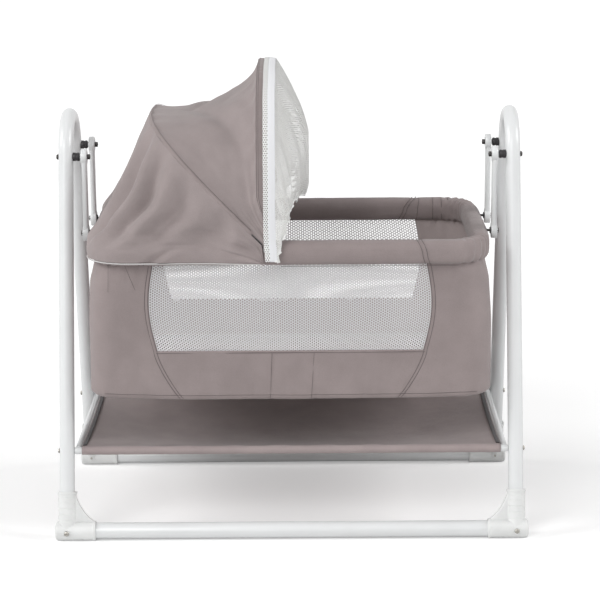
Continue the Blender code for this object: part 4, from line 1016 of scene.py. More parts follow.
@dataclass
class Stand:
    """White tube stand: end frames, corner joints, base tubes and shelf."""

    leg_x: float = 0.5225
    leg_radius: float = 0.0175
    half_track: float = 0.305
    joint_z: float = 0.0215
    base_radius: float = 0.019
    base_half: float = 0.502
    arch_z: float = 0.855
    arch_radius: float = 0.0975
    lean: float = radians(13.792)
    barrel_radius: float = 0.0225
    barrel_out: float = 0.0275
    barrel_in: float = 0.0665
    socket_radius: float = 0.0215
    socket_reach: float = 0.091
    rib_pitch: float = 0.0134
    rib_count: int = 5
    web_thickness: float = 0.016
    web_radius: float = 0.110
    shelf_z: float = 0.2025
    shelf_y: float = 0.2606
    shelf_half: float = 0.4877
    shelf_sag: float = 0.045
    bar_radius: float = 0.008
    bar_half: float = 0.5047
    insert_radius: float = 0.0084
    insert_in: float = 0.4895
    insert_out: float = 0.5036
    side_tube_x: float = 0.4965
    side_tube_half: float = 0.2523
    # Width and length share of the dark painted-shade bands along the shelf's side edges.
    binding: tuple[float, float] = (0.0115, 0.53)
    pivot_y: float = 0.096958
    pivot_z: float = 0.869
    head_x: float = 0.5403
    nut_x: float = 0.4726
    spacer_x: float = 0.4902
    spacer_length: float = 0.0168

    def leg_up(self, row: Row) -> Vector:
        """Gives the direction of a leg.

        Args:
            row: The leg's long side.

        Returns:
            The unit vector, upwards.
        """
        return Vector((0, -row * sin(self.lean), cos(self.lean)))

    def joint_centre(self, side: Side, row: Row) -> Vector:
        """Gives where a leg's line meets a base tube's line.

        Args:
            side: The end.
            row: The long side.

        Returns:
            The point.
        """
        return Vector((side * self.leg_x, row * self.half_track, self.joint_z))

    def end_frame(self, side: Side) -> None:
        """Makes one bent end frame: a leg, the top bend and the other leg.

        Args:
            side: The end.
        """
        up = self.leg_up(Row.FRONT)
        foot = self.joint_centre(side, Row.FRONT) + up * 0.008
        bend = Vector((side * self.leg_x, 0, self.arch_z))
        bend += Vector((0, -cos(self.lean), sin(self.lean))) * self.arch_radius
        bm = bmesh.new()
        bmesh.ops.create_circle(
            bm, cap_ends=False, segments=48, radius=self.leg_radius, matrix=aim(foot, up)
        )
        made = bmesh.ops.extrude_edge_only(bm, edges=bm.edges)["geom"]
        verts, edges = only(made, BMVert), only(made, BMEdge)
        bmesh.ops.translate(bm, verts=verts, vec=bend - foot)
        last = bmesh.ops.spin(
            bm, geom=verts + edges, cent=(bend.x, 0, self.arch_z), axis=(1, 0, 0),
            angle=-(pi - 2 * self.lean), steps=48,
        )["geom_last"]
        made = bmesh.ops.extrude_edge_only(bm, edges=only(last, BMEdge))["geom"]
        down = Vector((0, sin(self.lean), -cos(self.lean)))
        verts = only(made, BMVert)
        bmesh.ops.translate(bm, verts=verts, vec=down * (bend - foot).length)
        bmesh.ops.holes_fill(bm, edges=bm.edges, sides=0)
        name = f"end_frame_{side.label}"
        finished(f"{name}_tube", bm, WHITE_PAINT, Body.STAND, [name])

    def base_tube(self, row: Row) -> None:
        """Makes one floor tube.

        Args:
            row: The long side.
        """
        bm = bmesh.new()
        y, z = row * self.half_track, self.joint_z
        add_prism(bm, 56, self.base_radius, (-self.base_half, y, z), (self.base_half, y, z), 0.001)
        name = f"base_tube_{row.label}"
        finished(f"{name}_steel", bm, WHITE_PAINT, Body.STAND, [name])

    def socket_outline(self) -> list[tuple[float, float]]:
        """Gives the leg socket's outline with its lip and grip ribs.

        Returns:
            Radius and height of each point.
        """
        r, top = self.socket_radius, self.socket_reach
        low = top - 0.0065
        lip = r + 0.0013
        points = [(0, top), (r - 0.0035, top), (r - 0.0028, top - 0.0010)]
        points += [(r - 0.0024, top - 0.0010), (r - 0.0018, top), (r + 0.0004, top)]
        points += [(lip, top - 0.0010), (lip, low + 0.0012), (lip - 0.0004, low + 0.0002), (r, low)]
        for i in range(self.rib_count):
            middle = low - (i + 0.45) * self.rib_pitch
            points += [(r, middle + 0.0016), (r - 0.0009, middle + 0.0011)]
            points += [(r - 0.0009, middle - 0.0011), (r, middle - 0.0016)]
        return points + [(r, 0.004), (r - 0.004, 0), (0, 0)]

    def barrel_outline(self) -> list[tuple[float, float]]:
        """Gives the barrel's outline from its domed end to its flange.

        Returns:
            Radius and height of each point.
        """
        r, tip, end = self.barrel_radius, self.barrel_out, -self.barrel_in
        points = [(0, tip)]
        for i in range(1, 8):
            turn = pi / 2 * i / 7
            points.append((r * 0.72 + r * 0.28 * sin(turn), tip - 0.007 * (1 - cos(turn))))
        points.insert(1, (r * 0.5, tip - 0.0002))
        points += [(r, end + 0.0072), (r + 0.0005, end + 0.0062), (r + 0.0012, end + 0.0050)]
        points += [(r + 0.0012, end + 0.0010), (r + 0.0004, end), (0, end)]
        return points

    def add_web(self, bm: BMesh, side: Side, row: Row) -> None:
        """Adds the curved gusset between a socket and its barrel.

        Args:
            bm: The mesh being edited.
            side: The end.
            row: The long side.
        """
        high = Vector((self.socket_radius - 0.0015, self.socket_reach - 0.0065))
        low = Vector((self.barrel_in - 0.005, self.barrel_radius))
        chord = low - high
        across = Vector((-chord.y, chord.x)).normalized()
        reach = sqrt(self.web_radius ** 2 - (chord.length / 2) ** 2)
        centre = (high + low) / 2 + across * reach
        start = atan2(high.y - centre.y, high.x - centre.x)
        end = atan2(low.y - centre.y, low.x - centre.x)
        turn = (end - start + pi) % (2 * pi) - pi
        outline = [Vector((0.004, 0)), Vector((0.004, high.y - 0.002))]
        for share in shares(17):
            angle = start + turn * share
            outline.append(centre + Vector((cos(angle), sin(angle))) * self.web_radius)
        outline.append(Vector((low.x, 0)))
        base = self.joint_centre(side, row)
        up = self.leg_up(row)
        inward = Vector((-side, 0, 0))
        normal = inward.cross(up).normalized() * (self.web_thickness / 2)
        before = set(bm.verts)
        face = bm.faces.new([bm.verts.new(base + inward * u + up * v - normal) for u, v in outline])
        made = bmesh.ops.extrude_face_region(bm, geom=[face])["geom"]
        bmesh.ops.translate(bm, verts=only(made, BMVert), vec=normal * 2)
        fresh = [vert for vert in bm.verts if vert not in before]
        faces = {f for v in fresh for f in v.link_faces}
        bmesh.ops.recalc_face_normals(bm, faces=list(faces))
        rims = {e for f in faces if len(f.verts) > 4 for e in f.edges}
        round_edges(bm, rims, 0.0022, 3)

    def corner_joint(self, side: Side, row: Row) -> None:
        """Makes one moulded corner joint: barrel, socket, gusset and screw boss.

        Args:
            side: The end.
            row: The long side.
        """
        base = self.joint_centre(side, row)
        bm = bmesh.new()
        barrel = add_spun(bm, self.barrel_outline(), base, (side, 0, 0), 64)
        geom = set(barrel)
        for vert in barrel:
            geom.update(vert.link_edges)
            geom.update(vert.link_faces)
        cut = bmesh.ops.bisect_plane(
            bm, geom=list(geom), plane_co=(0, 0, 0.0001), plane_no=(0, 0, -1), clear_outer=True
        )["geom_cut"]
        bmesh.ops.holes_fill(bm, edges=only(cut, BMEdge), sides=0)
        add_spun(bm, self.socket_outline(), base, self.leg_up(row), 56)
        self.add_web(bm, side, row)
        reach = self.barrel_radius + 0.0012
        ring = [(0, -reach), (0.0075, -reach), (0.0085, 0.001 - reach), (0.0085, reach - 0.001)]
        ring += [(0.0081, reach), (0.0068, reach), (0.0064, reach - 0.0006), (0, reach - 0.0006)]
        add_spun(bm, ring, base, (0, row, 0), 36)
        name = f"corner_joint_{row.label}_{side.label}"
        finished(f"{name}_moulding", bm, WHITE_PLASTIC, Body.STAND, [name], angle=30)

    def fasteners(self) -> None:
        """Makes the screws and bolts of the stand."""
        for side in Side:
            for row in Row:
                label = f"{row.label}_{side.label}"
                low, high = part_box(f"corner_bolt_{label}")
                inner, outer = sorted((abs(low[1]), abs(high[1])))
                x, head, head_height = side * self.leg_x, side * self.head_x, 0.0032
                Fastener(
                    f"corner_bolt_{label}",
                    head=Vector((x, row * (outer - head_height), self.joint_z)),
                    tail=Vector((x, row * inner, self.joint_z)),
                    head_radius=0.0058, head_height=head_height, shank=0.0025, body=Body.STAND,
                ).build()
                y, z = row * self.pivot_y, self.pivot_z
                Fastener(
                    f"pivot_bolt_{label}",
                    head=Vector((head, y, z)), tail=Vector((side * self.nut_x, y, z)),
                    head_radius=0.0064, head_height=0.0045, shank=0.003, body=Body.STAND,
                    nut=(0.0066, 0.0068), finish=DARK_ZINC,
                ).build()
                y, z = row * self.shelf_y, self.shelf_z
                Fastener(
                    f"shelf_screw_{label}",
                    head=Vector((head, y, z)), tail=Vector((side * self.insert_in, y, z)),
                    head_radius=0.0058, head_height=0.0035, shank=0.0025, body=Body.STAND,
                ).build()

    def spacer(self, side: Side, row: Row) -> None:
        """Makes one black spacer between a leg and a hanger arm.

        Args:
            side: The end.
            row: The long side.
        """
        bm = bmesh.new()
        length = self.spacer_length
        profile = [(0, 0), (0.0088, 0), (0.0096, 0.0008), (0.0100, 0.0022), (0.0100, 0.0052)]
        profile += [(0.0092, 0.0060), (0.0092, 0.0088), (0.0100, 0.0096), (0.0100, length - 0.001)]
        profile += [(0.0094, length), (0, length)]
        start = (side * self.spacer_x, row * self.pivot_y, self.pivot_z)
        add_spun(bm, profile, start, (side, 0, 0), 36)
        name = f"pivot_spacer_{row.label}_{side.label}"
        finished(f"{name}_moulding", bm, BLACK_PLASTIC, Body.STAND, [name])

    def shelf_tubes(self) -> None:
        """Makes the two bars and two side tubes of the shelf."""
        radius, half, reach, z = self.bar_radius, self.bar_half, self.side_tube_half, self.shelf_z
        for row in Row:
            bm = bmesh.new()
            y = row * self.shelf_y
            add_prism(bm, 32, radius, (-half, y, z), (half, y, z), 0.0008)
            for side in Side:
                start, end = side * self.insert_in, side * self.insert_out
                add_prism(bm, 32, self.insert_radius, (start, y, z), (end, y, z), 0.0006)
            name = f"shelf_bar_{row.label}"
            finished(f"{name}_tube", bm, WHITE_PAINT, Body.STAND, [name])
        for side in Side:
            bm = bmesh.new()
            x = side * self.side_tube_x
            add_prism(bm, 32, radius, (x, -reach, z), (x, reach, z), 0.0008)
            name = f"shelf_side_tube_{side.label}"
            finished(f"{name}_bar", bm, WHITE_PAINT, Body.STAND, [name])

    def shelf_point(self, u: float, v: float) -> Vector:
        """Places the shelf cloth: round a bar, sagging across, round the other.

        Args:
            u: Share along the bars.
            v: Share across.

        Returns:
            The point.
        """
        wrap, hem = 0.0092, 0.13
        along = 2 * u - 1
        x = self.shelf_half * along
        sign = -1 if v < 0.5 else 1
        edge = min(v, 1 - v) / hem
        slack = 1 - along ** 4
        if edge < 1:
            turn = radians(-70 - 200 * edge)
            pucker = 0.0006 * ripple(along * 40, edge * 2, sign)
            y = self.shelf_y - (wrap + pucker) * cos(turn)
            z = self.shelf_z + (wrap + pucker) * sin(turn)
            return Vector((x, sign * y, z))
        across = (v - 0.5) / (0.5 - hem)
        bow = 1 - across * across
        near = 1 - abs(across)
        sag = self.shelf_sag * slack * bow
        pull = 0.006 * sin(9 * pi * along) * bell(near, 0.12, 0.16) * (1 - abs(along) ** 6)
        fold = 0.004 * ripple(along * 3.2 + 3, across * 1.6, 7) * bow
        crease = 0.0018 * ripple(along * 9, across * 3, 1) * min(1, near * 6)
        z = self.shelf_z + wrap - sag - (pull * 0.35 + fold + crease) * slack
        return Vector((x * (1 - 0.006 * bow), self.shelf_y * across, z))

    def shelf_cloth(self) -> None:
        """Makes the shelf's sheet and the dark bands along its sides, which are painted shade of the
        sheet's turned-down side hems.
        """
        size = (2 * self.shelf_half, 0.61)
        bm = shaped_grid(110, 96, self.shelf_point, size)
        sheet = finished("shelf_sheet", bm, LIT_SHELF_CLOTH, Body.STAND, ["shelf_fabric"], angle=60)
        thicken(sheet, 0.0014)
        for side in Side:
            def strip(u: float, v: float) -> Vector:
                """Places the dark band of painted shade on the sheet's side edge.

                Args:
                    u: Share across the binding.
                    v: Share along it.

                Returns:
                    The point.
                """
                edge = 0.5 + side * (0.5008 - self.binding[0] * u)
                point = self.shelf_point(edge, 0.14 + 0.72 * v)
                return point + Vector((0, 0, 0.0020 - 0.0030 * (1 - u) ** 3))

            name = f"shelf_binding_{side.label}"
            binding = finished(name, shaped_grid(5, 90, strip, self.binding), SHELF_SHADE_BAND, Body.STAND)
            thicken(binding, 0.0010)

    def build(self) -> None:
        """Makes the whole stand."""
        for side in Side:
            self.end_frame(side)
            for row in Row:
                self.corner_joint(side, row)
                self.spacer(side, row)
        for row in Row:
            self.base_tube(row)
        self.fasteners()
        self.shelf_tubes()
        self.shelf_cloth()


@dataclass
class Hangers:
    """Four flat hanger arms with an eye at each end, and their lower bolts."""

    x: float = 0.4799
    y: float = 0.096958
    top: float = 0.869
    low: float = 0.688
    eye_radius: float = 0.019
    width: float = 0.030
    thickness: float = 0.012
    head_x: float = 0.4299
    nut_x: float = 0.4862
    washer_x: float = 0.4701

    def arm(self, side: Side, row: Row) -> None:
        """Makes one arm with its two eyes and their bushes.

        Args:
            side: The end.
            row: The long side.
        """
        bm = bmesh.new()
        x, y = side * self.x, row * self.y
        r = self.eye_radius
        profile = [(0, -0.007), (r * 0.36, -0.007), (r * 0.42, -0.0062), (r * 0.62, -0.0062)]
        profile += [(r * 0.68, -0.007), (r - 0.002, -0.007), (r - 0.0006, -0.0064), (r, -0.005)]
        outline = profile + [(radius, -height) for radius, height in reversed(profile)]
        for z in (self.low, self.top):
            add_spun(bm, outline, (x, y, z), (side, 0, 0), 44)
            bush = [(0, 0), (0.006, 0), (0.006, 0.0096), (0.0055, 0.0099), (0, 0.0099)]
            add_spun(bm, bush, (x, y, z), (side, 0, 0), 28)
        before = set(bm.verts)
        middle = Matrix.Translation((x, y, (self.top + self.low) / 2))
        scale = Matrix.Diagonal((self.thickness, self.width, self.top - self.low, 1))
        bmesh.ops.create_cube(bm, size=1, matrix=middle @ scale)
        fresh = [vert for vert in bm.verts if vert not in before]
        edges = {e for v in fresh for e in v.link_edges}
        upright = [e for e in edges if abs(e.verts[0].co.z - e.verts[1].co.z) > 0.1]
        round_edges(bm, upright, 0.0052, 6)
        name = f"hanger_arm_{row.label}_{side.label}"
        piece = finished(f"{name}_bar", bm, WHITE_PAINT, None, [name], angle=45)
        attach(piece, f"arm_{row.label}_{side.label}")

    def build(self) -> None:
        """Makes the arms, their lower bolts and their washers."""
        for side in Side:
            for row in Row:
                label = f"{row.label}_{side.label}"
                y = row * self.y
                self.arm(side, row)
                Fastener(
                    f"rim_bolt_{label}", head=Vector((side * self.head_x, y, self.low)),
                    tail=Vector((side * self.nut_x, y, self.low)), head_radius=0.006,
                    head_height=0.0045, shank=0.003, body=Body.CRADLE, nut=(0.0064, 0.0052),
                    finish=DARK_ZINC,
                ).build()
                bm = bmesh.new()
                ring = [(0, 0), (0.0074, 0), (0.0080, 0.0006), (0.0080, 0.0019), (0.0074, 0.0025)]
                ring.append((0, 0.0025))
                add_spun(bm, ring, (side * self.washer_x, y, self.low), (side, 0, 0), 32)
                node = f"rim_washer_{label}"
                finished(f"{node}_disc", bm, BLACK_PLASTIC, Body.CRADLE, [node])


# Cradle
@dataclass
class Rim:
    """Rounded rectangle of the rim and of the walls below it."""

    half_length: float = 0.440
    half_width: float = 0.277
    corner: float = 0.075

    def sections(
        self, grow_x: float, grow_y: float, corner: float, left: float, right: float
    ) -> list[Callable]:
        """Gives the stretches of the front half, from the right end's middle.

        Args:
            grow_x: How far the ends stand out.
            grow_y: How far the long sides stand out.
            corner: The corner's radius.
            left: Where the middle stretch ends.
            right: Where the middle stretch starts.

        Returns:
            A function of a share from 0 to 1 for each stretch.
        """
        long, wide = self.half_length + grow_x, self.half_width + grow_y

        def arc(sign: int) -> Callable[[float], tuple[float, float]]:
            """Gives a corner's stretch.

            Args:
                sign: 1 at the right end, -1 at the left end.

            Returns:
                Its function.
            """
            def at(share: float) -> tuple[float, float]:
                """Gives a point of the corner.

                Args:
                    share: Share along it.

                Returns:
                    The point.
                """
                turn = pi / 2 * (share if sign > 0 else 1 - share)
                x = sign * (long - corner + corner * cos(turn))
                return x, -(wide - corner + corner * sin(turn))
            return at

        def line(x0: float, y0: float, x1: float, y1: float) -> Callable[[float], tuple[float, float]]:
            """Gives a straight stretch.

            Args:
                x0: Its start across.
                y0: Its start along Y.
                x1: Its end across.
                y1: Its end along Y.

            Returns:
                Its function.
            """
            return lambda share: (x0 + (x1 - x0) * share, y0 + (y1 - y0) * share)

        return [
            line(long, 0, long, corner - wide), arc(1),
            line(long - corner, -wide, right, -wide), line(right, -wide, left, -wide),
            line(left, -wide, corner - long, -wide), arc(-1),
            line(-long, corner - wide, -long, 0),
        ]

    def path(self, offset: float, height: float, count: int = 240) -> list[Vector]:
        """Gives a closed path round the rim.

        Args:
            offset: How far outside the rim's line it runs.
            height: Its height.
            count: How many points it has.

        Returns:
            The points.
        """
        long, wide = self.half_length + offset, self.half_width + offset
        corner = self.corner + offset
        bend = pi / 2 * corner
        lengths = [wide - corner, bend, 2 * (long - corner), bend, wide - corner]
        total = sum(lengths)
        parts = self.sections(offset, offset, corner, 0, 0)
        parts[2:5] = [lambda share: ((long - corner) * (1 - 2 * share), -wide)]
        points = []
        for i in range(count):
            half, step = divmod(i * 2 / count, 1)
            at = step * total
            for part, length in zip(parts, lengths):
                if at <= length or part is parts[-1]:
                    x, y = part(min(1, at / length))
                    break
                at -= length
            points.append(Vector((x, y, height)) if half < 1 else Vector((-x, -y, height)))
        return points


@dataclass
class Basket:
    """Soft tub with net windows, padded rim, mattress and seams."""

    rim: Rim
    top: float = 0.6767
    bottom: float = 0.334
    rim_z: float = 0.6735
    pad_radius: float = 0.0265
    window_low: float = 0.4435
    window_high: float = 0.646
    window_top: float = 0.3125
    window_base: float = 0.3055
    window_bulge: float = 0.0150
    wall: float = 0.0032
    edge: float = 0.013
    swell: float = 0.026
    sag: float = 0.0085
    push_limit: float = 0.006
    window_rows: tuple[float, float] = (0.10, 0.50)
    wall_rows: float = 0.80
    turn_rows: float = 0.10
    mattress_x: float = 0.441
    mattress_y: float = 0.252
    mattress_z: float = 0.3447
    mattress_height: float = 0.027
    columns: tuple[int, ...] = (12, 14, 16, 96, 16, 14, 12)
    seam_y: float = 0.2772
    rim_seams: tuple[Triple, ...] = (
        (0.299, -1, 0.010), (0.3095, -1, 0.010), (-0.330, -1, -0.004), (-0.340, -1, -0.004),
        (0.287, 1, -0.018), (0.296, 1, -0.018), (-0.270, 1, 0.0), (-0.280, 1, 0.0),
    )
    pleats: tuple[tuple[float, float], ...] = (
        (0.318, -0.004), (0.356, 0.0), (0.378, 0.001), (0.395, 0.002), (0.410, 0.003),
    )

    def half_window(self, z: float) -> float:
        """Gives half the window's width at a height, and the seam's line below it.

        Args:
            z: The height.

        Returns:
            The half width.
        """
        share = (z - self.window_low) / (self.window_high - self.window_low)
        inside = min(1.0, max(0.0, share))
        width = self.window_base + (self.window_top - self.window_base) * inside
        width += self.window_bulge * sin(pi * inside)
        if share < 0:
            drop = (self.window_low - z) / (self.window_low - self.bottom)
            width -= 0.062 * min(1.0, drop) ** 1.5
        return width

    def puckers(self, x: float, y: float, z: float) -> float:
        """Gives how far the wall's cloth stands in or out at a place.

        Args:
            x: Place along the cradle.
            y: Place across.
            z: Height.

        Returns:
            The distance outwards.
        """
        angle = atan2(y * 1.6, x) * 6
        soft = 0.0035 * ripple(angle * 0.55, z * 7, 3)
        drape = 0.0016 * ripple(angle * 2.2, z * 3.0, 5)
        below = ease(self.top - z, 0.02, 0.035) * bell(self.top - z, 0.03, 0.035)
        corner = bell(abs(x), 0.42, 0.07)
        gathers = (0.0018 + 0.0040 * corner) * ripple(angle * 10, z * 7, 1) * below
        tuck = bell(z, self.bottom + 0.018, 0.03) * 0.0016 * ripple(angle * 6, z * 14, 9)
        seam = 0.0
        edge = abs(x) - self.half_window(z)
        if abs(y) > 0.2 and z < self.window_high + 0.02:
            seam -= 0.0014 * bell(edge, 0.0015, 0.0035) + 0.0012 * bell(edge, 0.009, 0.0035)
            seam += 0.0016 * bell(edge, 0.025, 0.012) * ripple(z * 60, 2, x)
        if y < -0.2 and z < self.window_low:
            fade = ease(self.window_low - z, 0.0, 0.03)
            seam -= 0.0022 * bell(x, -0.040 + 0.1 * (z - 0.4), 0.004) * fade
            seam -= 0.0020 * bell(x, 0.052 - 0.12 * (z - 0.4), 0.005) * fade
            seam += 0.0028 * bell(x, 0.005, 0.030) * fade
        return soft + drape + gathers + tuck + seam

    def sink(self, x: float, z: float = 0.0) -> float:
        """Gives how far the lower wall sags, most in its middle.

        Args:
            x: Place along the cradle.
            z: Height.

        Returns:
            The distance downwards.
        """
        return self.sag * ease(0.42 - z, 0.0, 0.085) * (1 - (x / 0.47) ** 4)

    def row_height(self, v: float) -> tuple[float, float, float, float, float]:
        """Gives a row of the tub: its height, reach along and across, and its corner.

        Args:
            v: Share from the top to the middle of the floor.

        Returns:
            Height, growth along, growth across, corner radius and share of the floor crossed.
        """
        window_start, window_end = self.window_rows
        marks = (
            (0, self.top), (window_start, self.window_high), (window_end, self.window_low),
            (self.wall_rows, self.bottom + self.edge),
        )
        floor_start = self.wall_rows + self.turn_rows
        if v <= self.wall_rows:
            for (v0, z0), (v1, z1) in zip(marks, marks[1:]):
                if v <= v1 + 1e-9:
                    z = z0 + (z1 - z0) * (v - v0) / (v1 - v0)
                    break
            share = max(0.0, (0.6535 - z) / (0.6535 - self.bottom - self.edge))
            swell = 0.30 + 0.50 * ease(share, -0.02, 0.20) + 0.20 * ease(share, 0.1, 0.55)
            return z, self.swell * swell, 0.0, self.rim.corner - 0.020 * share, 0.0
        if v <= floor_start:
            turn = pi / 2 * (v - self.wall_rows) / self.turn_rows
            pull = self.edge * (1 - cos(turn))
            z = self.bottom + self.edge * (1 - sin(turn))
            return z, self.swell - pull, -pull, 0.055 - pull / 2, 0.0
        floor = (v - floor_start) / self.turn_rows
        return self.bottom, self.swell - self.edge, -self.edge, 0.05, floor

    def wall_point(self, u: float, v: float) -> Vector:
        """Places the tub's cloth.

        Args:
            u: Share round the tub, from the right end's middle over the front.
            v: Share from the top to the middle of the floor.

        Returns:
            The point.
        """
        z, along, across, corner, floor = self.row_height(v)
        half = self.half_window(z)
        sign = -1 if u <= 0.5 else 1
        share = u * 2 if u <= 0.5 else 2 - u * 2
        column = share * sum(self.columns)
        parts = self.rim.sections(along, across, corner, -half, half)
        for part, count in zip(parts, self.columns):
            if column <= count + 1e-6:
                break
            column -= count
        x, y = part(min(1.0, column / count))
        y *= -sign
        out = Vector((x / 0.45, y / 0.28, 0)).normalized()
        if abs(abs(y) - self.rim.half_width - across) < 1e-6:
            out = Vector((0, sign, 0))
        push = self.puckers(x, y, z) * (1 - floor) * ease(self.top - z, 0.003, 0.03)
        edge = abs(x) - half
        if self.window_low - 0.006 <= z <= self.window_high + 0.006 and abs(y) > 0.2:
            push *= ease(abs(edge), 0.0, 0.01)
        push = min(push, self.push_limit)
        sink = self.sink(x, z) * ease(abs(y), 0.1, 0.26)
        point = Vector((x, y, z)) + out * push - Vector((0, 0, sink))
        if floor:
            point.x *= 1 - 0.25 * floor
            point.y *= 1 - 0.25 * floor
        return point

    def tub(self) -> None:
        """Makes the fabric tub with its two window openings."""
        total, size = 2 * sum(self.columns), (2.34, 0.43)
        bm = shaped_grid(total, 80, self.wall_point, size)
        first = sum(self.columns[:3]) / total
        last = first + self.columns[3] / total
        layer = bm.loops.layers.uv[0]
        holes = []
        for face in bm.faces:
            u = sum(loop[layer].uv.x for loop in face.loops) / 4 / size[0]
            v = sum(loop[layer].uv.y for loop in face.loops) / 4 / size[1]
            span = u if u < 0.5 else 1 - u
            if first < span < last and self.window_rows[0] < v < self.window_rows[1]:
                holes.append(face)
        bmesh.ops.delete(bm, geom=holes, context="FACES")
        bmesh.ops.remove_doubles(bm, verts=bm.verts, dist=1e-5)
        rims = [edge for edge in bm.edges if edge.is_boundary]
        floor = [edge for edge in rims if all(vert.co.z < self.bottom + 0.02 for vert in edge.verts)]
        bmesh.ops.holes_fill(bm, edges=floor, sides=0)
        piece = finished("basket_tub", bm, TAUPE, Body.CRADLE, ["body_fabric"], angle=70)
        thicken(piece, self.wall, -1)
        # The wall's inner side takes the lighter taupe copy, which is painted light.
        piece.data.materials.append(PAINTED_LIGHT_LINING.material())
        piece.modifiers["Wall"].material_offset = 1

    def window(self, row: Row) -> None:
        """Makes one net window.

        Args:
            row: The long side.
        """
        y = row * (self.rim.half_width - 0.0022)

        def place(u: float, v: float) -> Vector:
            """Places the net just inside the wall.

            Args:
                u: Share across.
                v: Share from the bottom up.

            Returns:
                The point.
            """
            z = self.window_low - 0.006 + (self.window_high - self.window_low + 0.012) * v
            x = (self.half_window(max(z, self.window_low)) + 0.006) * (2 * u - 1)
            return Vector((x, y - row * 0.001 * sin(pi * v), z))

        size = (0.655, 0.205)
        bm = shaped_grid(96, 30, place, size)
        name = f"window_net_{row.label}"
        finish = NET if row is Row.FRONT else LIT_REAR_NET
        piece = finished(f"{name}_mesh", bm, finish, Body.CRADLE, [name], angle=60)
        thicken(piece, 0.0004)

    def pad(self) -> None:
        """Makes the padded rim cover, swollen by simulation."""
        radius = self.pad_radius - 0.0016
        count, around = 600, 40
        line = self.rim.path(0, self.rim_z, count)

        def place(u: float, v: float) -> Vector:
            """Places the cover's surface.

            Args:
                u: Share along the rim.
                v: Share round the section.

            Returns:
                The point.
            """
            i = round(u * count) % count
            here, after, before = line[i], line[(i + 1) % count], line[i - 1]
            along = (after - before).normalized()
            out = Vector((-along.y, along.x, 0)) * -1
            if out.dot(here) < 0:
                out = -out
            turn = 2 * pi * v
            x, y = here.x, here.y
            corner = bell(abs(x), 0.43, 0.05) * bell(abs(y), 0.24, 0.07)
            wrinkle = 0.0007 * ripple(u * 90, cos(turn) * 1.2, sin(turn) * 1.2)
            twist = 0.9 * sin(turn) + 1.2 * ripple(u * 40, 2, 1)
            wrinkle += 0.0040 * corner * sin(2 * pi * 150 * u + twist)
            wrinkle += 0.0012 * ripple(u * 30, cos(turn), sin(turn) + 4)
            for seam in self.rim_seams:
                if (y < 0) == (seam[1] < 0):
                    wrinkle -= 0.0016 * bell(x, self.seam_x(seam, turn), 0.0035)
            across, up = self.section(turn, radius + wrinkle)
            end = ease(abs(x), 0.400, 0.438)
            tight = bell(abs(y), 0.235, 0.055)
            across *= 1 - end * (0.28 * tight if across > 0 else 0.22)
            return here + out * across + Vector((0, 0, up))

        bm = shaped_grid(count, around, place, (2.72, 0.166))
        bmesh.ops.remove_doubles(bm, verts=bm.verts, dist=1e-5)
        piece = finished("rim_cover", bm, TAUPE_PAD, Body.CRADLE, ["rim_pad"], angle=75)

        def held(point: Vector) -> float:
            """Gives how firmly the seams hold a point.

            Args:
                point: The point.

            Returns:
                A share from 0 to 1.
            """
            low = ease(self.rim_z - self.pad_radius * 0.72 - point.z, -0.002, 0.002)
            seams = [bell(point.x, seam[0], 0.004) for seam in self.rim_seams if point.y * seam[1] > 0]
            return min(1.0, max(low, 0.9 * max(seams, default=0.0)))

        puffed(piece, 0.0045, 0.0022, held)

    @staticmethod
    def section(turn: float, radius: float) -> tuple[float, float]:
        """Gives a point of the padded rim's soft square section.

        Args:
            turn: The angle round it, from outside upwards.
            radius: Its half width.

        Returns:
            How far outwards and how far up the point is.
        """
        wide, tall = soft_square(turn, 0.68)
        lean = 0.0060 * (0.5 - 0.5 * tall) * max(0.0, -wide)
        droop = 0.0020 * max(0.0, -tall) * max(0.0, -wide)
        return wide * radius + lean, tall * (radius + 0.0025) - droop

    @staticmethod
    def seam_x(seam: Triple, turn: float) -> float:
        """Gives where a seam over the rim runs.

        Args:
            seam: The seam.
            turn: The angle round the rim's section.

        Returns:
            Its place along the cradle.
        """
        return seam[0] - seam[2] * sin(turn) + abs(seam[2]) * 0.3 * cos(turn)

    def on_rim(self, row: Row, x: float, turn: float, lift: float) -> Vector:
        """Gives a point on the padded rim of a long side.

        Args:
            row: The long side.
            x: Place along the cradle.
            turn: The angle round the rim's section.
            lift: How far outside the padding it lies.

        Returns:
            The point.
        """
        across, up = self.section(turn, self.pad_radius + lift)
        return Vector((x, row * (self.rim.half_width + across), self.rim_z + up))

    def pleat_seams(self) -> None:
        """Makes dark lines of painted shade along the short pleats over the rear rim."""
        for number, (x, slant) in enumerate(self.pleats):
            points = []
            for share in shares(30):
                turn = pi * (1.28 - 0.72 * share)
                points.append(self.on_rim(Row.REAR, x - slant * sin(turn), turn, 0.0001))
            tube(f"rim_pleat_{number}", points, 0.0005)

    def side_seams(self, row: Row) -> None:
        """Makes the double seams that run down beside a window.

        Args:
            row: The long side.
        """
        y, start = row * self.seam_y, self.bottom + 0.004
        for side in Side:
            for gap in (0.0015, 0.0090):
                points = []
                for share in shares(70):
                    z = start + (0.652 - start) * share
                    x = side * (self.half_window(z) + gap)
                    push = self.puckers(x, y, z) * ease(self.top - z, 0.003, 0.03) + 0.0004
                    edge = ease(gap, 0.0, 0.01) if z > self.window_low - 0.006 else 1.0
                    curve = max(0.0, (self.bottom + self.edge - z) / self.edge)
                    pull = self.edge * (1 - sqrt(max(0.0, 1 - curve ** 2)))
                    out = min(push, self.push_limit) * edge - pull
                    points.append(Vector((x, y + row * out, z - self.sink(x, z))))
                name = f"wall_seam_{row.label}_{side.label}_{round(gap * 1000)}"
                tube(name, points, 0.00055)

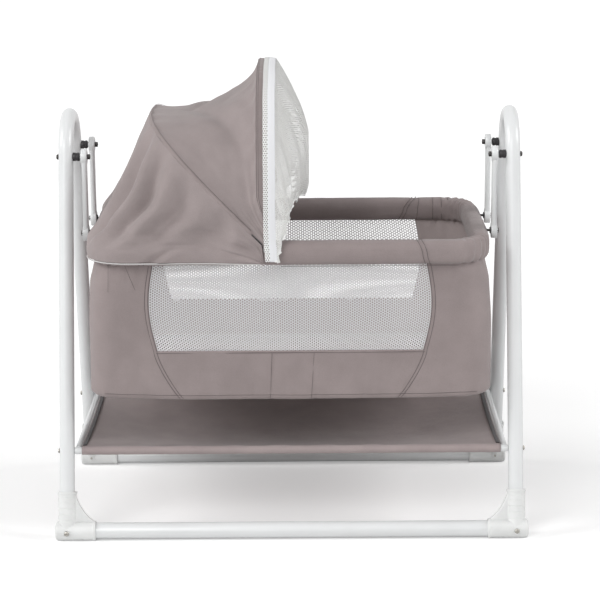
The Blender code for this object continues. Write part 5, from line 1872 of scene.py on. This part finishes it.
    def edge_seams(self, row: Row) -> None:
        """Makes the long seams under the rim and along the wall's foot.

        Args:
            row: The long side.
        """
        y = row * self.seam_y
        z, points = self.rim_z - self.pad_radius - 0.0010, []
        for share in shares(120):
            points.append(Vector((-0.02 + 0.405 * share, y + row * 0.0222, z)))
        tube(f"rim_edge_seam_{row.label}", points, 0.0005)
        z, points = self.bottom + 0.0125, []
        for share in shares(120):
            x = -0.43 + 0.86 * share
            out = min(self.puckers(x, y, z), self.push_limit)
            points.append(Vector((x, y + row * out, z - self.sink(x))))
        tube(f"wall_edge_seam_{row.label}", points, 0.0005)

    def cross_seams(self, row: Row) -> None:
        """Makes the seams that run over the rim.

        Args:
            row: The long side.
        """
        first, reach = (1.36, 1.66) if row is Row.REAR else (1.2, 1.5)
        for number, seam in enumerate(self.rim_seams):
            if seam[1] != row:
                continue
            turns = [pi * (first - reach * share) for share in shares(40)]
            points = [self.on_rim(row, self.seam_x(seam, turn), turn, -0.0002) for turn in turns]
            tube(f"rim_seam_{row.label}_{number}", points, 0.0006)

    def creases(self) -> None:
        """Makes dark lines of painted shade along the creases of the front wall, below the window and
        at its left end.
        """
        y = -self.seam_y
        for number, (top, low, start, drop) in enumerate((
            (-0.042, -0.047, self.window_low - 0.006, 0.100),
            (0.055, 0.048, self.window_low - 0.006, 0.100),
            (-0.377, -0.354, 0.648, 0.060), (-0.414, -0.416, 0.648, 0.065),
        )):
            points = []
            for share in shares(40):
                x, z = top + (low - top) * share, start - drop * share
                push = min(self.puckers(x, y, z), self.push_limit)
                points.append(Vector((x, y - push, z - self.sink(0.0, z))))
            tube(f"wall_crease_{number}", points, 0.0004)

    def seams(self) -> None:
        """Makes the stitched seams of the tub and of the rim, and the dark painted-shade lines along
        its pleats and creases.
        """
        self.pleat_seams()
        for row in Row:
            self.side_seams(row)
            self.edge_seams(row)
            self.cross_seams(row)
            if row is Row.FRONT:
                self.creases()
            y, z, points = row * self.seam_y, self.window_low - 0.005, []
            for share in shares(80):
                x = (self.half_window(z) + 0.004) * (2 * share - 1)
                points.append(Vector((x, y + row * self.puckers(x, y, z) * 0.6, z)))
            tube(f"window_seam_{row.label}", points, 0.00055)

    def mattress(self) -> None:
        """Makes the quilted mattress, swollen by simulation."""
        shrink = 0.003
        bm = bmesh.new()
        low = self.mattress_z
        bmesh.ops.create_grid(bm, x_segments=72, y_segments=44, size=1)
        for vert in bm.verts:
            u, v = vert.co.x, vert.co.y
            corner = min(1, (u * v) ** 2)
            reach_x = self.mattress_x - shrink - 0.0146 * corner - 0.006 * (1 - v * v) * abs(u)
            reach_y = self.mattress_y - shrink - 0.0146 * corner - 0.006 * (1 - u ** 4) * abs(v)
            vert.co = Vector((u * reach_x, v * reach_y, low))
        made = bmesh.ops.extrude_face_region(bm, geom=list(bm.faces))["geom"]
        for vert in only(made, BMVert):
            u, v = vert.co.x / self.mattress_x, vert.co.y / self.mattress_y
            rise = (1 - u ** 6) * (1 - v ** 6)
            vert.co.z += self.mattress_height - shrink - 0.006 * (1 - rise)
        rims = [e for e in bm.edges if len(e.link_faces) == 2 and e.calc_face_angle(0) > 0.9]
        round_edges(bm, rims, 0.005, 4)
        piece = finished("mattress_cover_quilt", bm, QUILT, Body.CRADLE, ["mattress"], angle=75)
        puffed(piece, 0.006, 0.005, lambda point: ease(low + 0.004 - point.z, 0.0, 0.003))

    def build(self) -> None:
        """Makes the whole basket."""
        self.tub()
        for row in Row:
            self.window(row)
        self.seams()
        self.pad()
        self.mattress()


# Hood
@dataclass(frozen=True)
class Bow:
    """One bow of the hood: its angle from the cradle's long direction and its width."""

    angle: float
    half_width: float
    body: Body

    @property
    def along(self) -> Vector:
        """Gives the direction from the pivot to the bow's top.

        Returns:
            The unit vector.
        """
        return Vector((cos(self.angle), 0, sin(self.angle)))

    @property
    def ahead(self) -> Vector:
        """Gives the direction square to the bow's plane, forwards.

        Returns:
            The unit vector.
        """
        return Vector((sin(self.angle), 0, -cos(self.angle)))


@dataclass
class Hood:
    """Folding hood: two bows with sleeves, two panels, tape, piping and net."""

    rim: Rim
    pivot_x: float = -0.05
    pivot_z: float = 0.688
    height: float = 0.387
    mid: Bow = Bow(radians(135), 0.3092, Body.HOOD_MID)
    front: Bow = Bow(radians(90), 0.3148, Body.HOOD_FRONT)
    hem_z: float = 0.657
    shoulder_z: float = 0.698
    offset: float = 0.028
    band_back: float = 0.0225
    bow_share: float = 0.93
    bow_end: float = 0.97
    drop: float = 0.042
    flare: float = 0.004
    panel_thickness: float = 0.0012
    columns: int = 260

    @property
    def pivot(self) -> Vector:
        """Gives the middle of the hood's pivot line.

        Returns:
            The point.
        """
        return Vector((self.pivot_x, 0, self.pivot_z))

    def on_bow(self, bow: Bow, share: float, grow: float) -> Vector:
        """Gives a point of a bow.

        Args:
            bow: The bow.
            share: From -1 at the front to 1 at the rear.
            grow: How far outside it the point is.

        Returns:
            The point.
        """
        turn = pi / 2 * share
        across, up = sin(turn), max(0.0, cos(turn))
        wide = (abs(across) / (bow.half_width + grow)) ** 3
        tall = (up / (self.height + grow)) ** 3
        radius = (wide + tall) ** (-1 / 3)
        return self.pivot + bow.along * (radius * up) + Vector((0, radius * across, 0))

    def trim(self, bow: Bow, share: float, grow: float = 0.0) -> Vector:
        """Gives a point along a bow and down over the rim below its pivot.

        Args:
            bow: The bow.
            share: From -1 at the front hem to 1 at the rear hem.
            grow: How far outside it the point is.

        Returns:
            The point.
        """
        reach = abs(share)
        sign = copysign(1, share)
        if reach <= self.bow_share:
            return self.on_bow(bow, share / self.bow_share * self.bow_end, grow)
        low = (reach - self.bow_share) / (1 - self.bow_share)
        point = self.on_bow(bow, sign * self.bow_end, grow)
        return point + Vector((self.flare * low, sign * self.flare * low, -self.drop * low))

    def hem(self, share: float, offset: float, z: float) -> Vector:
        """Gives a point round the hooded end of the rim, by length along it.

        Args:
            share: From -1 at the front pivot to 1 at the rear pivot.
            offset: How far outside the rim's line it runs.
            z: Its height.

        Returns:
            The point.
        """
        long, wide = self.rim.half_length + offset, self.rim.half_width + offset
        corner = self.rim.corner + offset
        straight = self.pivot_x - 0.006 - (corner - long)
        lengths = (wide - corner, pi / 2 * corner, straight)
        at = abs(share) * sum(lengths)
        if at <= lengths[0]:
            x, y = -long, at
        elif at <= lengths[0] + lengths[1]:
            turn = (at - lengths[0]) / corner
            x, y = -long + corner * (1 - cos(turn)), wide - corner + corner * sin(turn)
        else:
            x, y = corner - long + at - lengths[0] - lengths[1], wide
            y += 0.017 * ease(abs(share), 0.78, 1.0)
        return Vector((x, copysign(y, share), z))

    def rear_point(self, u: float, v: float) -> Vector:
        """Places the rear panel.

        Args:
            u: Share across, from the front to the rear.
            v: Share from the bow down to the hem.

        Returns:
            The point.
        """
        share = 2 * u - 1
        top = self.trim(self.mid, share, 0.004) - self.mid.ahead * 0.002
        shoulder = self.hem(share, self.offset - 0.004, self.shoulder_z)
        shoulder.z = min(shoulder.z, top.z - 0.002)
        hem = self.hem(share, self.offset, min(self.hem_z, top.z - 0.004))
        shoulder = shoulder.lerp(top.lerp(hem, 0.70), ease(abs(share), 0.66, 0.94))
        limit = 0.82
        if v > limit:
            low = (v - limit) / (1 - limit)
            bulge = self.hem(share, self.offset + 0.0035, self.hem_z)
            bulge -= self.hem(share, self.offset, self.hem_z)
            return shoulder.lerp(hem, low) + bulge * sin(pi * min(1, low * 1.1))
        along = v / limit
        up = max(0.0, (top.z - self.pivot_z) / self.height)
        dip = 0.010 * up * sin(pi * along)
        return top.lerp(shoulder, along) + Vector((dip, 0, 0))

    def rear_relief(self, u: float, v: float) -> float:
        """Gives the rear panel's folds: rays from the bow, tucks and gathers.

        Args:
            u: Share across.
            v: Share down.

        Returns:
            The height.
        """
        share = abs(2 * u - 1)
        wall = sin(pi * min(1.0, v / 0.86)) ** 0.7 if v < 0.86 else 0.0
        turn = 0.06 * ripple(v * 2.2, share * 1.5, 3)
        rays = 0.0
        for middle, width, depth in (
            (0.290, 0.024, 0.0110), (0.345, 0.022, -0.0120), (0.400, 0.022, 0.0160),
            (0.455, 0.022, -0.0150), (0.515, 0.026, 0.0140), (0.585, 0.032, -0.0120),
            (0.665, 0.038, 0.0100), (0.750, 0.036, -0.0090), (0.830, 0.030, 0.0070),
        ):
            rays += depth * bell(share + turn, middle + 0.06 * (v - 0.4), width)
        loose = 0.0070 * ripple(share * 3.1 + 2, v * 2.4, 11 + u)
        fine = 0.0016 * ripple(share * 14, v * 7, 5)
        trough = -0.0060 * bell(v, 0.70, 0.06) * ease(share, 0.2, 0.45) * (1 - ease(share, 0.55, 0.72))
        slant, below = share + (v - 0.9) * 0.5, ease(v, 0.84, 0.93)
        tuck = -0.0060 * bell(slant, 0.66, 0.022) * below
        tuck += 0.0040 * bell(slant, 0.70, 0.025) * below
        for middle, depth in ((0.25, 0.0035), (0.50, -0.0040), (0.72, 0.0035)):
            tuck += depth * bell(v, middle + 0.25 * (0.92 - share), 0.09) * bell(share, 0.88, 0.08)
        elastic = 0.0026 * ripple(share * 70, v * 4, 2) * ease(v, 0.86, 0.98) * bell(share, 0.48, 0.16)
        corner = 0.0040 * ripple(share * 30, v * 9, 7) * bell(v, 0.78, 0.07) * bell(share, 0.36, 0.10)
        bound = 0.0010 * ripple(share * 60, v * 3, 8) * bell(v, 0.03, 0.05)
        return (rays + loose) * wall + fine * ease(v, 0, 0.1) + trough + tuck + elastic + corner + bound

    def front_point(self, u: float, v: float) -> Vector:
        """Places the front panel.

        Args:
            u: Share across, from the front to the rear.
            v: Share from the front bow back to the other.

        Returns:
            The point.
        """
        share = 2 * u - 1
        low = ease(abs(share), 0.80, 0.90)
        ahead = self.trim(self.front, share, 0.0058 * low)
        ahead.x -= self.band_back * self.taper(share) - 0.0075 * low
        behind = self.trim(self.mid, share, 0.004) + self.mid.ahead * 0.002
        up = max(0.0, (ahead.z - self.pivot_z) / self.height)
        if ahead.x < behind.x:
            ahead.x = behind.x = (ahead.x + behind.x) / 2
        span = min(1.0, (ahead - behind).length / 0.10)
        sag = 0.010 * min(1, v / 0.03, (1 - v) / 0.30) + 0.034 * sin(pi * v ** 0.75) ** 0.8
        side = ease(abs(share), 0.12, 0.45)
        hollow = 0.017 * side * sin(pi * v ** 0.8) * span
        return ahead.lerp(behind, v) - Vector((0, copysign(1, share) * hollow, up * sag))

    @staticmethod
    def taper(share: float) -> float:
        """Gives how wide the front channel's rear half still is near the pivots.

        Args:
            share: From -1 at the front hem to 1 at the rear hem.

        Returns:
            A share from about 0 to 1.
        """
        return 1 - 0.85 * ease(abs(share), 0.72, 0.875)

    def front_relief(self, u: float, v: float) -> float:
        """Gives the front panel's folds.

        Args:
            u: Share across.
            v: Share from the front bow back.

        Returns:
            The height.
        """
        share = abs(2 * u - 1)
        wall = sin(pi * v)
        slant = v + 0.9 * (share - 0.12)
        ray = 0.0115 * bell(slant, 0.32, 0.09) * ease(share, 0.12, 0.30)
        ray -= 0.0090 * bell(slant, 0.52, 0.08)
        ray += 0.0045 * bell(v, 0.10 + 0.1 * share, 0.05) * ease(share, 0.3, 0.6)
        loose = 0.0065 * ripple(share * 3.4, v * 2.6, 21 + u)
        fine = 0.0014 * ripple(share * 13, v * 8, 15)
        tug = 0.0016 * cos(share * 52 + 3 * ripple(share * 5, v, 2)) * bell(v, 0.97, 0.10)
        pull = 0.0013 * cos(share * 70 + 2 * ripple(share * 8, v, 4)) * bell(v, 0.03, 0.08)
        return (ray + loose) * wall + fine * wall + tug * ease(1 - v, 0, 0.05) + pull * ease(v, 0, 0.03)

    def panels(self) -> None:
        """Makes the two hood panels."""
        inside = Vector((-0.12, 0, 0.74))
        size = (1.20, 0.42)
        bm = shaped_grid(220, 90, self.rear_point, size)
        soften(bm, 5)
        relief(bm, size, inside, self.rear_relief)
        rear = finished("hood_rear_panel", bm, LIT_HOOD_TAUPE, None, ["hood_panel_rear"], angle=75)
        thicken(rear, self.panel_thickness)
        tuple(self.pivot)
        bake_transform(rear)
        size = (1.10, 0.32)
        bm = shaped_grid(220, 60, self.front_point, size)
        soften(bm, 3)
        relief(bm, size, inside, self.front_relief)
        front = finished("hood_front_panel", bm, LIT_HOOD_TAUPE, None, ["hood_panel_front"], angle=75)
        thicken(front, self.panel_thickness)
        middle = Bow((self.mid.angle + self.front.angle) / 2, self.mid.half_width, Body.HOOD_MID)
        reach = middle.ahead * 0.09
        centre = self.pivot + middle.along * 0.2
        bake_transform(front)

    def sleeve(
        self, name: str, bow: Bow, limit: float, along: float, radial: float, node: str,
        puckers: float, shift: float = 0.0,
    ) -> None:
        """Makes the cloth channel round a bow.

        Args:
            name: The piece's name.
            bow: The bow.
            limit: How far down the bow it reaches.
            along: Half its width along the hood.
            radial: Half its depth.
            node: The CAD node that it stands for.
            puckers: How deep its elastic puckers are.
            shift: How far ahead of the bow its middle lies.
        """
        normal = bow.ahead

        def place(u: float, v: float) -> Vector:
            """Places the channel's surface.

            Args:
                u: Share along the bow.
                v: Share round the channel.

            Returns:
                The point.
            """
            share = (2 * u - 1) * limit
            centre = self.trim(bow, share) + normal * shift * self.taper(share)
            ahead, behind = (self.trim(bow, share + step) for step in (0.01, -0.01))
            out = (ahead - behind).normalized().cross(normal).normalized()
            if out.dot(centre - self.pivot) < 0:
                out = -out
            turn = 2 * pi * v
            wide, tall = soft_square(turn, 0.7)
            end = ease(1 - abs(2 * u - 1), 0.0, 0.012) * 0.3 + 0.7
            if shift and wide < 0:
                wide *= 0.15 + 0.85 * self.taper(share)
            fold = puckers * (0.5 + 0.5 * sin(share * 150 + 2 * ripple(share * 20, v * 2, 3)))
            dent = 2.2 * puckers * bell(wide, -0.1, 0.35)
            depth = radial - (fold + dent) * abs(sin(turn))
            return centre + normal * wide * along * end + out * tall * depth * end

        bm = shaped_grid(self.columns, 20, place, (1.0, 4 * along), joined=True)
        bmesh.ops.holes_fill(bm, edges=[e for e in bm.edges if e.is_boundary], sides=0)
        finished(name, bm, TAUPE, bow.body, [node], angle=75)

    def trims(self) -> None:
        """Makes the tape, the net's binding, the piping and the seams of the hood."""
        for name, finish, start, width, rise, nodes in (
            ("hood_tape_band", TAPE, 0.0030, 0.0165, 0.0068, ["hood_tape"]),
            ("hood_net_binding", BINDING_NET, -0.0080, 0.0125, 0.0062, []),
        ):
            def band(u: float, v: float) -> Vector:
                """Places a band on the front of the front channel.

                Args:
                    u: Share along the bow.
                    v: Share across the band.

                Returns:
                    The point.
                """
                share = 2 * u - 1
                drop = 0.0030 * bell(start + width * v, 0.019, 0.008)
                point = self.trim(self.front, share, rise - drop)
                curl = 0.0011 * ripple(share * 9, v * 0.6, 6) + 0.0005 * ripple(share * 40, v, 2)
                return point + Vector((start + width * v + curl, 0, 0))

            bm = shaped_grid(self.columns, 6, band, (1.10, width))
            piece = finished(name, bm, finish, Body.HOOD_FRONT, nodes, angle=75)
            thicken(piece, 0.0008)
        points = [self.hem(2 * share - 1, self.offset, self.hem_z - 0.0024) for share in shares(121)]
        tube("hood_hem_piping", points, 0.0015, PIPING, nodes=["hood_piping"], sides=2)
        for name, bow, limit, shift, lift in (
            ("mid_ahead", self.mid, 0.85, 0.0056, 0.0046),
            ("front_behind", self.front, 0.86, -self.band_back, 0.0030),
            ("front_middle", self.front, 0.86, -0.0185, 0.0050),
        ):
            points = []
            for share in shares(181):
                reach = limit * (2 * share - 1)
                step = bow.ahead * shift * (self.taper(reach) if shift < 0 else 1.0)
                points.append(self.trim(bow, reach, lift) + step)
            tube(f"hood_seam_{name}", points, 0.00045, body=bow.body)

    def net_point(self, u: float, v: float) -> Vector:
        """Places the net that hangs from the front bow.

        Args:
            u: Share across, from the front to the rear.
            v: Share from the bow down to the hem.

        Returns:
            The point.
        """
        share = 2 * u - 1
        reach = abs(share)
        top = self.trim(self.front, share, 0.003)
        start = top + Vector((0.0185, 0, 0))
        fall = max(0.0, (reach - 0.50) / 0.50)
        wander = ripple(share * 11, 3, 2)
        lobe = ripple(share * 8, 1, 5)
        centre = 1 - ease(reach, 0.22, 0.50)
        hem_x = 0.007 + 0.021 * centre - 0.040 * fall ** 1.2 + 0.004 * wander
        hem_y = top.y * (0.95 + 0.05 * fall)
        hem_z = 0.784 - 0.126 * fall + 0.011 * lobe * (1 - fall)
        hem = Vector((max(hem_x, start.x + 0.002), hem_y, min(hem_z, top.z - 0.004 + 0.002 * fall)))
        swell = (0.006 + 0.030 * centre) * sin(pi * v ** 1.1) ** 0.8
        swell *= 1 + 0.16 * ripple(share * 5, v * 2, 8)
        wave = sin(15 * pi * share + 1.6 * ripple(share * 4, 0, 1))
        fold = (0.0030 + 0.0050 * centre) * wave * v ** 0.7
        fold += 0.0034 * ripple(share * 30, v * 2.4, 4) * (0.3 + 0.7 * v)
        tuck = (0.004 + 0.008 * centre) * bell(v, 1.0, 0.08) * (0.5 + 0.5 * sin(44 * pi * share))
        point = start.lerp(hem, v)
        x = min(point.x + swell + fold - tuck, 0.0455)
        x = max(x, top.x + 0.016)
        sway = 0.004 * ripple(share * 24, v * 3, 9) * v
        return Vector((x, point.y + sway, point.z))

    def net(self) -> None:
        """Makes the net and its gathered hem."""
        size = (1.40, 0.36)
        bm = shaped_grid(self.columns, 60, self.net_point, size)
        piece = finished("hood_net_curtain", bm, SOFT_NET, Body.HOOD_FRONT, ["hood_net"], angle=80)
        thicken(piece, 0.0004)
        points = []
        for i, u in enumerate(shares(341)):
            point = self.net_point(u, 1.0)
            curl = 0.0030 * sin(i * 1.1) + 0.0020 * ripple(i * 0.35, 2)
            points.append(point + Vector((curl * 0.8, 0.002 * cos(i * 0.9), curl)))
        hem = tube("hood_net_hem", points, 0.0022, HEM, Body.HOOD_FRONT, sides=2)
        for soft in (piece, hem):
            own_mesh(soft)

    def pins(self) -> None:
        """Makes the two pivot pins."""
        for row in Row:
            head, tail = (row * y for y in (0.3176, self.rim.half_width))
            Fastener(
                f"hood_pin_{row.label}", head=Vector((self.pivot_x, head, self.pivot_z)),
                tail=Vector((self.pivot_x, tail, self.pivot_z)), head_radius=0.007,
                head_height=0.0024, shank=0.0024, body=Body.CRADLE,
            ).build()

    def build(self) -> None:
        """Makes the whole hood."""
        self.sleeve(
            "hood_mid_channel", self.mid, limit=0.865, along=0.0052, radial=0.0054,
            node="hood_mid_sleeve", puckers=0.0002,
        )
        self.sleeve(
            "hood_front_channel", self.front, limit=0.875, along=0.0165, radial=0.0056,
            node="hood_front_sleeve", puckers=0.0010, shift=-0.0065,
        )
        self.panels()
        self.trims()
        self.net()
        self.pins()


# View
@dataclass(frozen=True)
class Shot:
    """Camera, light and floor of the photograph."""

    place: Triple = (0.0438, -5.1866, 1.6600)
    yaw: float = radians(-0.241)
    pitch: float = radians(12.601)
    roll: float = radians(-0.449)
    lens: float = 131.916
    ambient: float = 0.31
    floor_light: float = 0.30

    def camera(self) -> None:
        """Places the camera."""
        data = bpy.data.cameras.new("camera")
        data.lens = self.lens
        data.sensor_width = 36
        data.clip_end = 200
        ahead = Vector((
            sin(self.yaw) * cos(self.pitch),
            cos(self.yaw) * cos(self.pitch),
            -sin(self.pitch),
        ))
        level = Vector((cos(self.yaw), -sin(self.yaw), 0))
        upright = level.cross(ahead)
        right = level * cos(self.roll) + upright * sin(self.roll)
        up = upright * cos(self.roll) - level * sin(self.roll)
        turn = Matrix((right, up, -ahead)).transposed().to_4x4()
        camera = placed("camera", data)
        camera.matrix_world = Matrix.Translation(self.place) @ turn
        bpy.context.scene.camera = camera

    def sun(self, name: str, strength: float, direction: Triple, angle: float) -> None:
        """Adds a wide soft light from far away.

        Args:
            name: Its name.
            strength: Its strength.
            direction: Where it shines to.
            angle: Its width in degrees.
        """
        data = bpy.data.lights.new(name, "SUN")
        data.energy = strength
        data.angle = radians(angle)
        placed(name, data).matrix_world = aim((0, 0, 3), -Vector(direction))

    def world(self) -> None:
        """Makes soft light from all round, with white seen by the camera."""
        world = bpy.data.worlds.new("studio")
        bpy.context.scene.world = world
        world.use_nodes = True
        tree = world.node_tree
        back = tree.nodes["Background"]
        back.inputs["Color"].default_value = (1.0, 1.0, 1.0, 1.0)
        rays = tree.nodes.new("ShaderNodeLightPath")
        seen = rays.outputs["Is Camera Ray"]
        for kind in ("Is Glossy Ray", "Is Transmission Ray"):
            either = tree.nodes.new("ShaderNodeMath")
            either.operation = "MAXIMUM"
            tree.links.new(seen, either.inputs[0])
            tree.links.new(rays.outputs[kind], either.inputs[1])
            seen = either.outputs[0]
        level = tree.nodes.new("ShaderNodeMapRange")
        tree.links.new(seen, level.inputs[0])
        level.inputs[3].default_value = self.ambient
        level.inputs[4].default_value = 1.0
        tree.links.new(level.outputs[0], back.inputs["Strength"])

    def floor(self) -> None:
        """Makes the plain pale floor, which keeps the shadow."""
        bm = bmesh.new()
        bmesh.ops.create_grid(bm, x_segments=8, y_segments=8, size=60)
        mesh = bpy.data.meshes.new("floor")
        bm.to_mesh(mesh)
        bm.free()
        graph = Graph("studio_floor")
        tone = graph.blend(graph.grain(0.7, 2), (0.86, 0.86, 0.86), (0.88, 0.88, 0.88))
        seen = graph.node("LightPath").outputs["Is Camera Ray"]
        graph.finish(tone, 0.9, None, Specular_IOR_Level=0.0, Emission_Color=(1, 1, 1, 1))
        glow = graph.math("MULTIPLY", seen, self.floor_light)
        graph.feed(graph.shader.inputs["Emission Strength"], glow)
        mesh.materials.append(graph.material)
        piece = placed("floor", mesh)
        piece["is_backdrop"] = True

    def build(self) -> None:
        """Makes the camera, the lights and the floor."""
        scene = bpy.context.scene
        scene.view_settings.view_transform = "Standard"
        self.camera()
        self.world()
        self.sun("key", 1.15, (0.42, 0.76, -0.50), 30)
        self.sun("fill", 0.25, (-0.42, 0.76, -0.50), 50)
        self.sun("side_left", 1.30, (0.86, 0.10, -0.50), 25)
        self.sun("side_right", 1.25, (-0.86, 0.10, -0.50), 25)
        self.floor()


def dress_nodes() -> None:
    """Gives the CAD nodes that stay visible their finishes."""
    for name, finish in (
        ("rim_tube", WHITE_PAINT), ("base_board", BOARD),
        ("hood_mid_bow", WIRE), ("hood_front_bow", WIRE),
    ):
        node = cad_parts[name]
        for holder in node.material_slots:
            holder.material = finish.material()
        LOG.info("dressed %s", name)


def main() -> None:
    """Builds the classes in order."""
    logging.basicConfig(level=logging.INFO, format="%(message)s")
    Shot().build()
    dress_nodes()
    Stand().build()
    Hangers().build()
    rim = Rim()
    Basket(rim).build()
    Hood(rim).build()
    for key, box in (("cad", CAD_BOX), ("visual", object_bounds())):
        [[float(number) for number in corner] for corner in box]


if __name__ == "__main__":
    main()
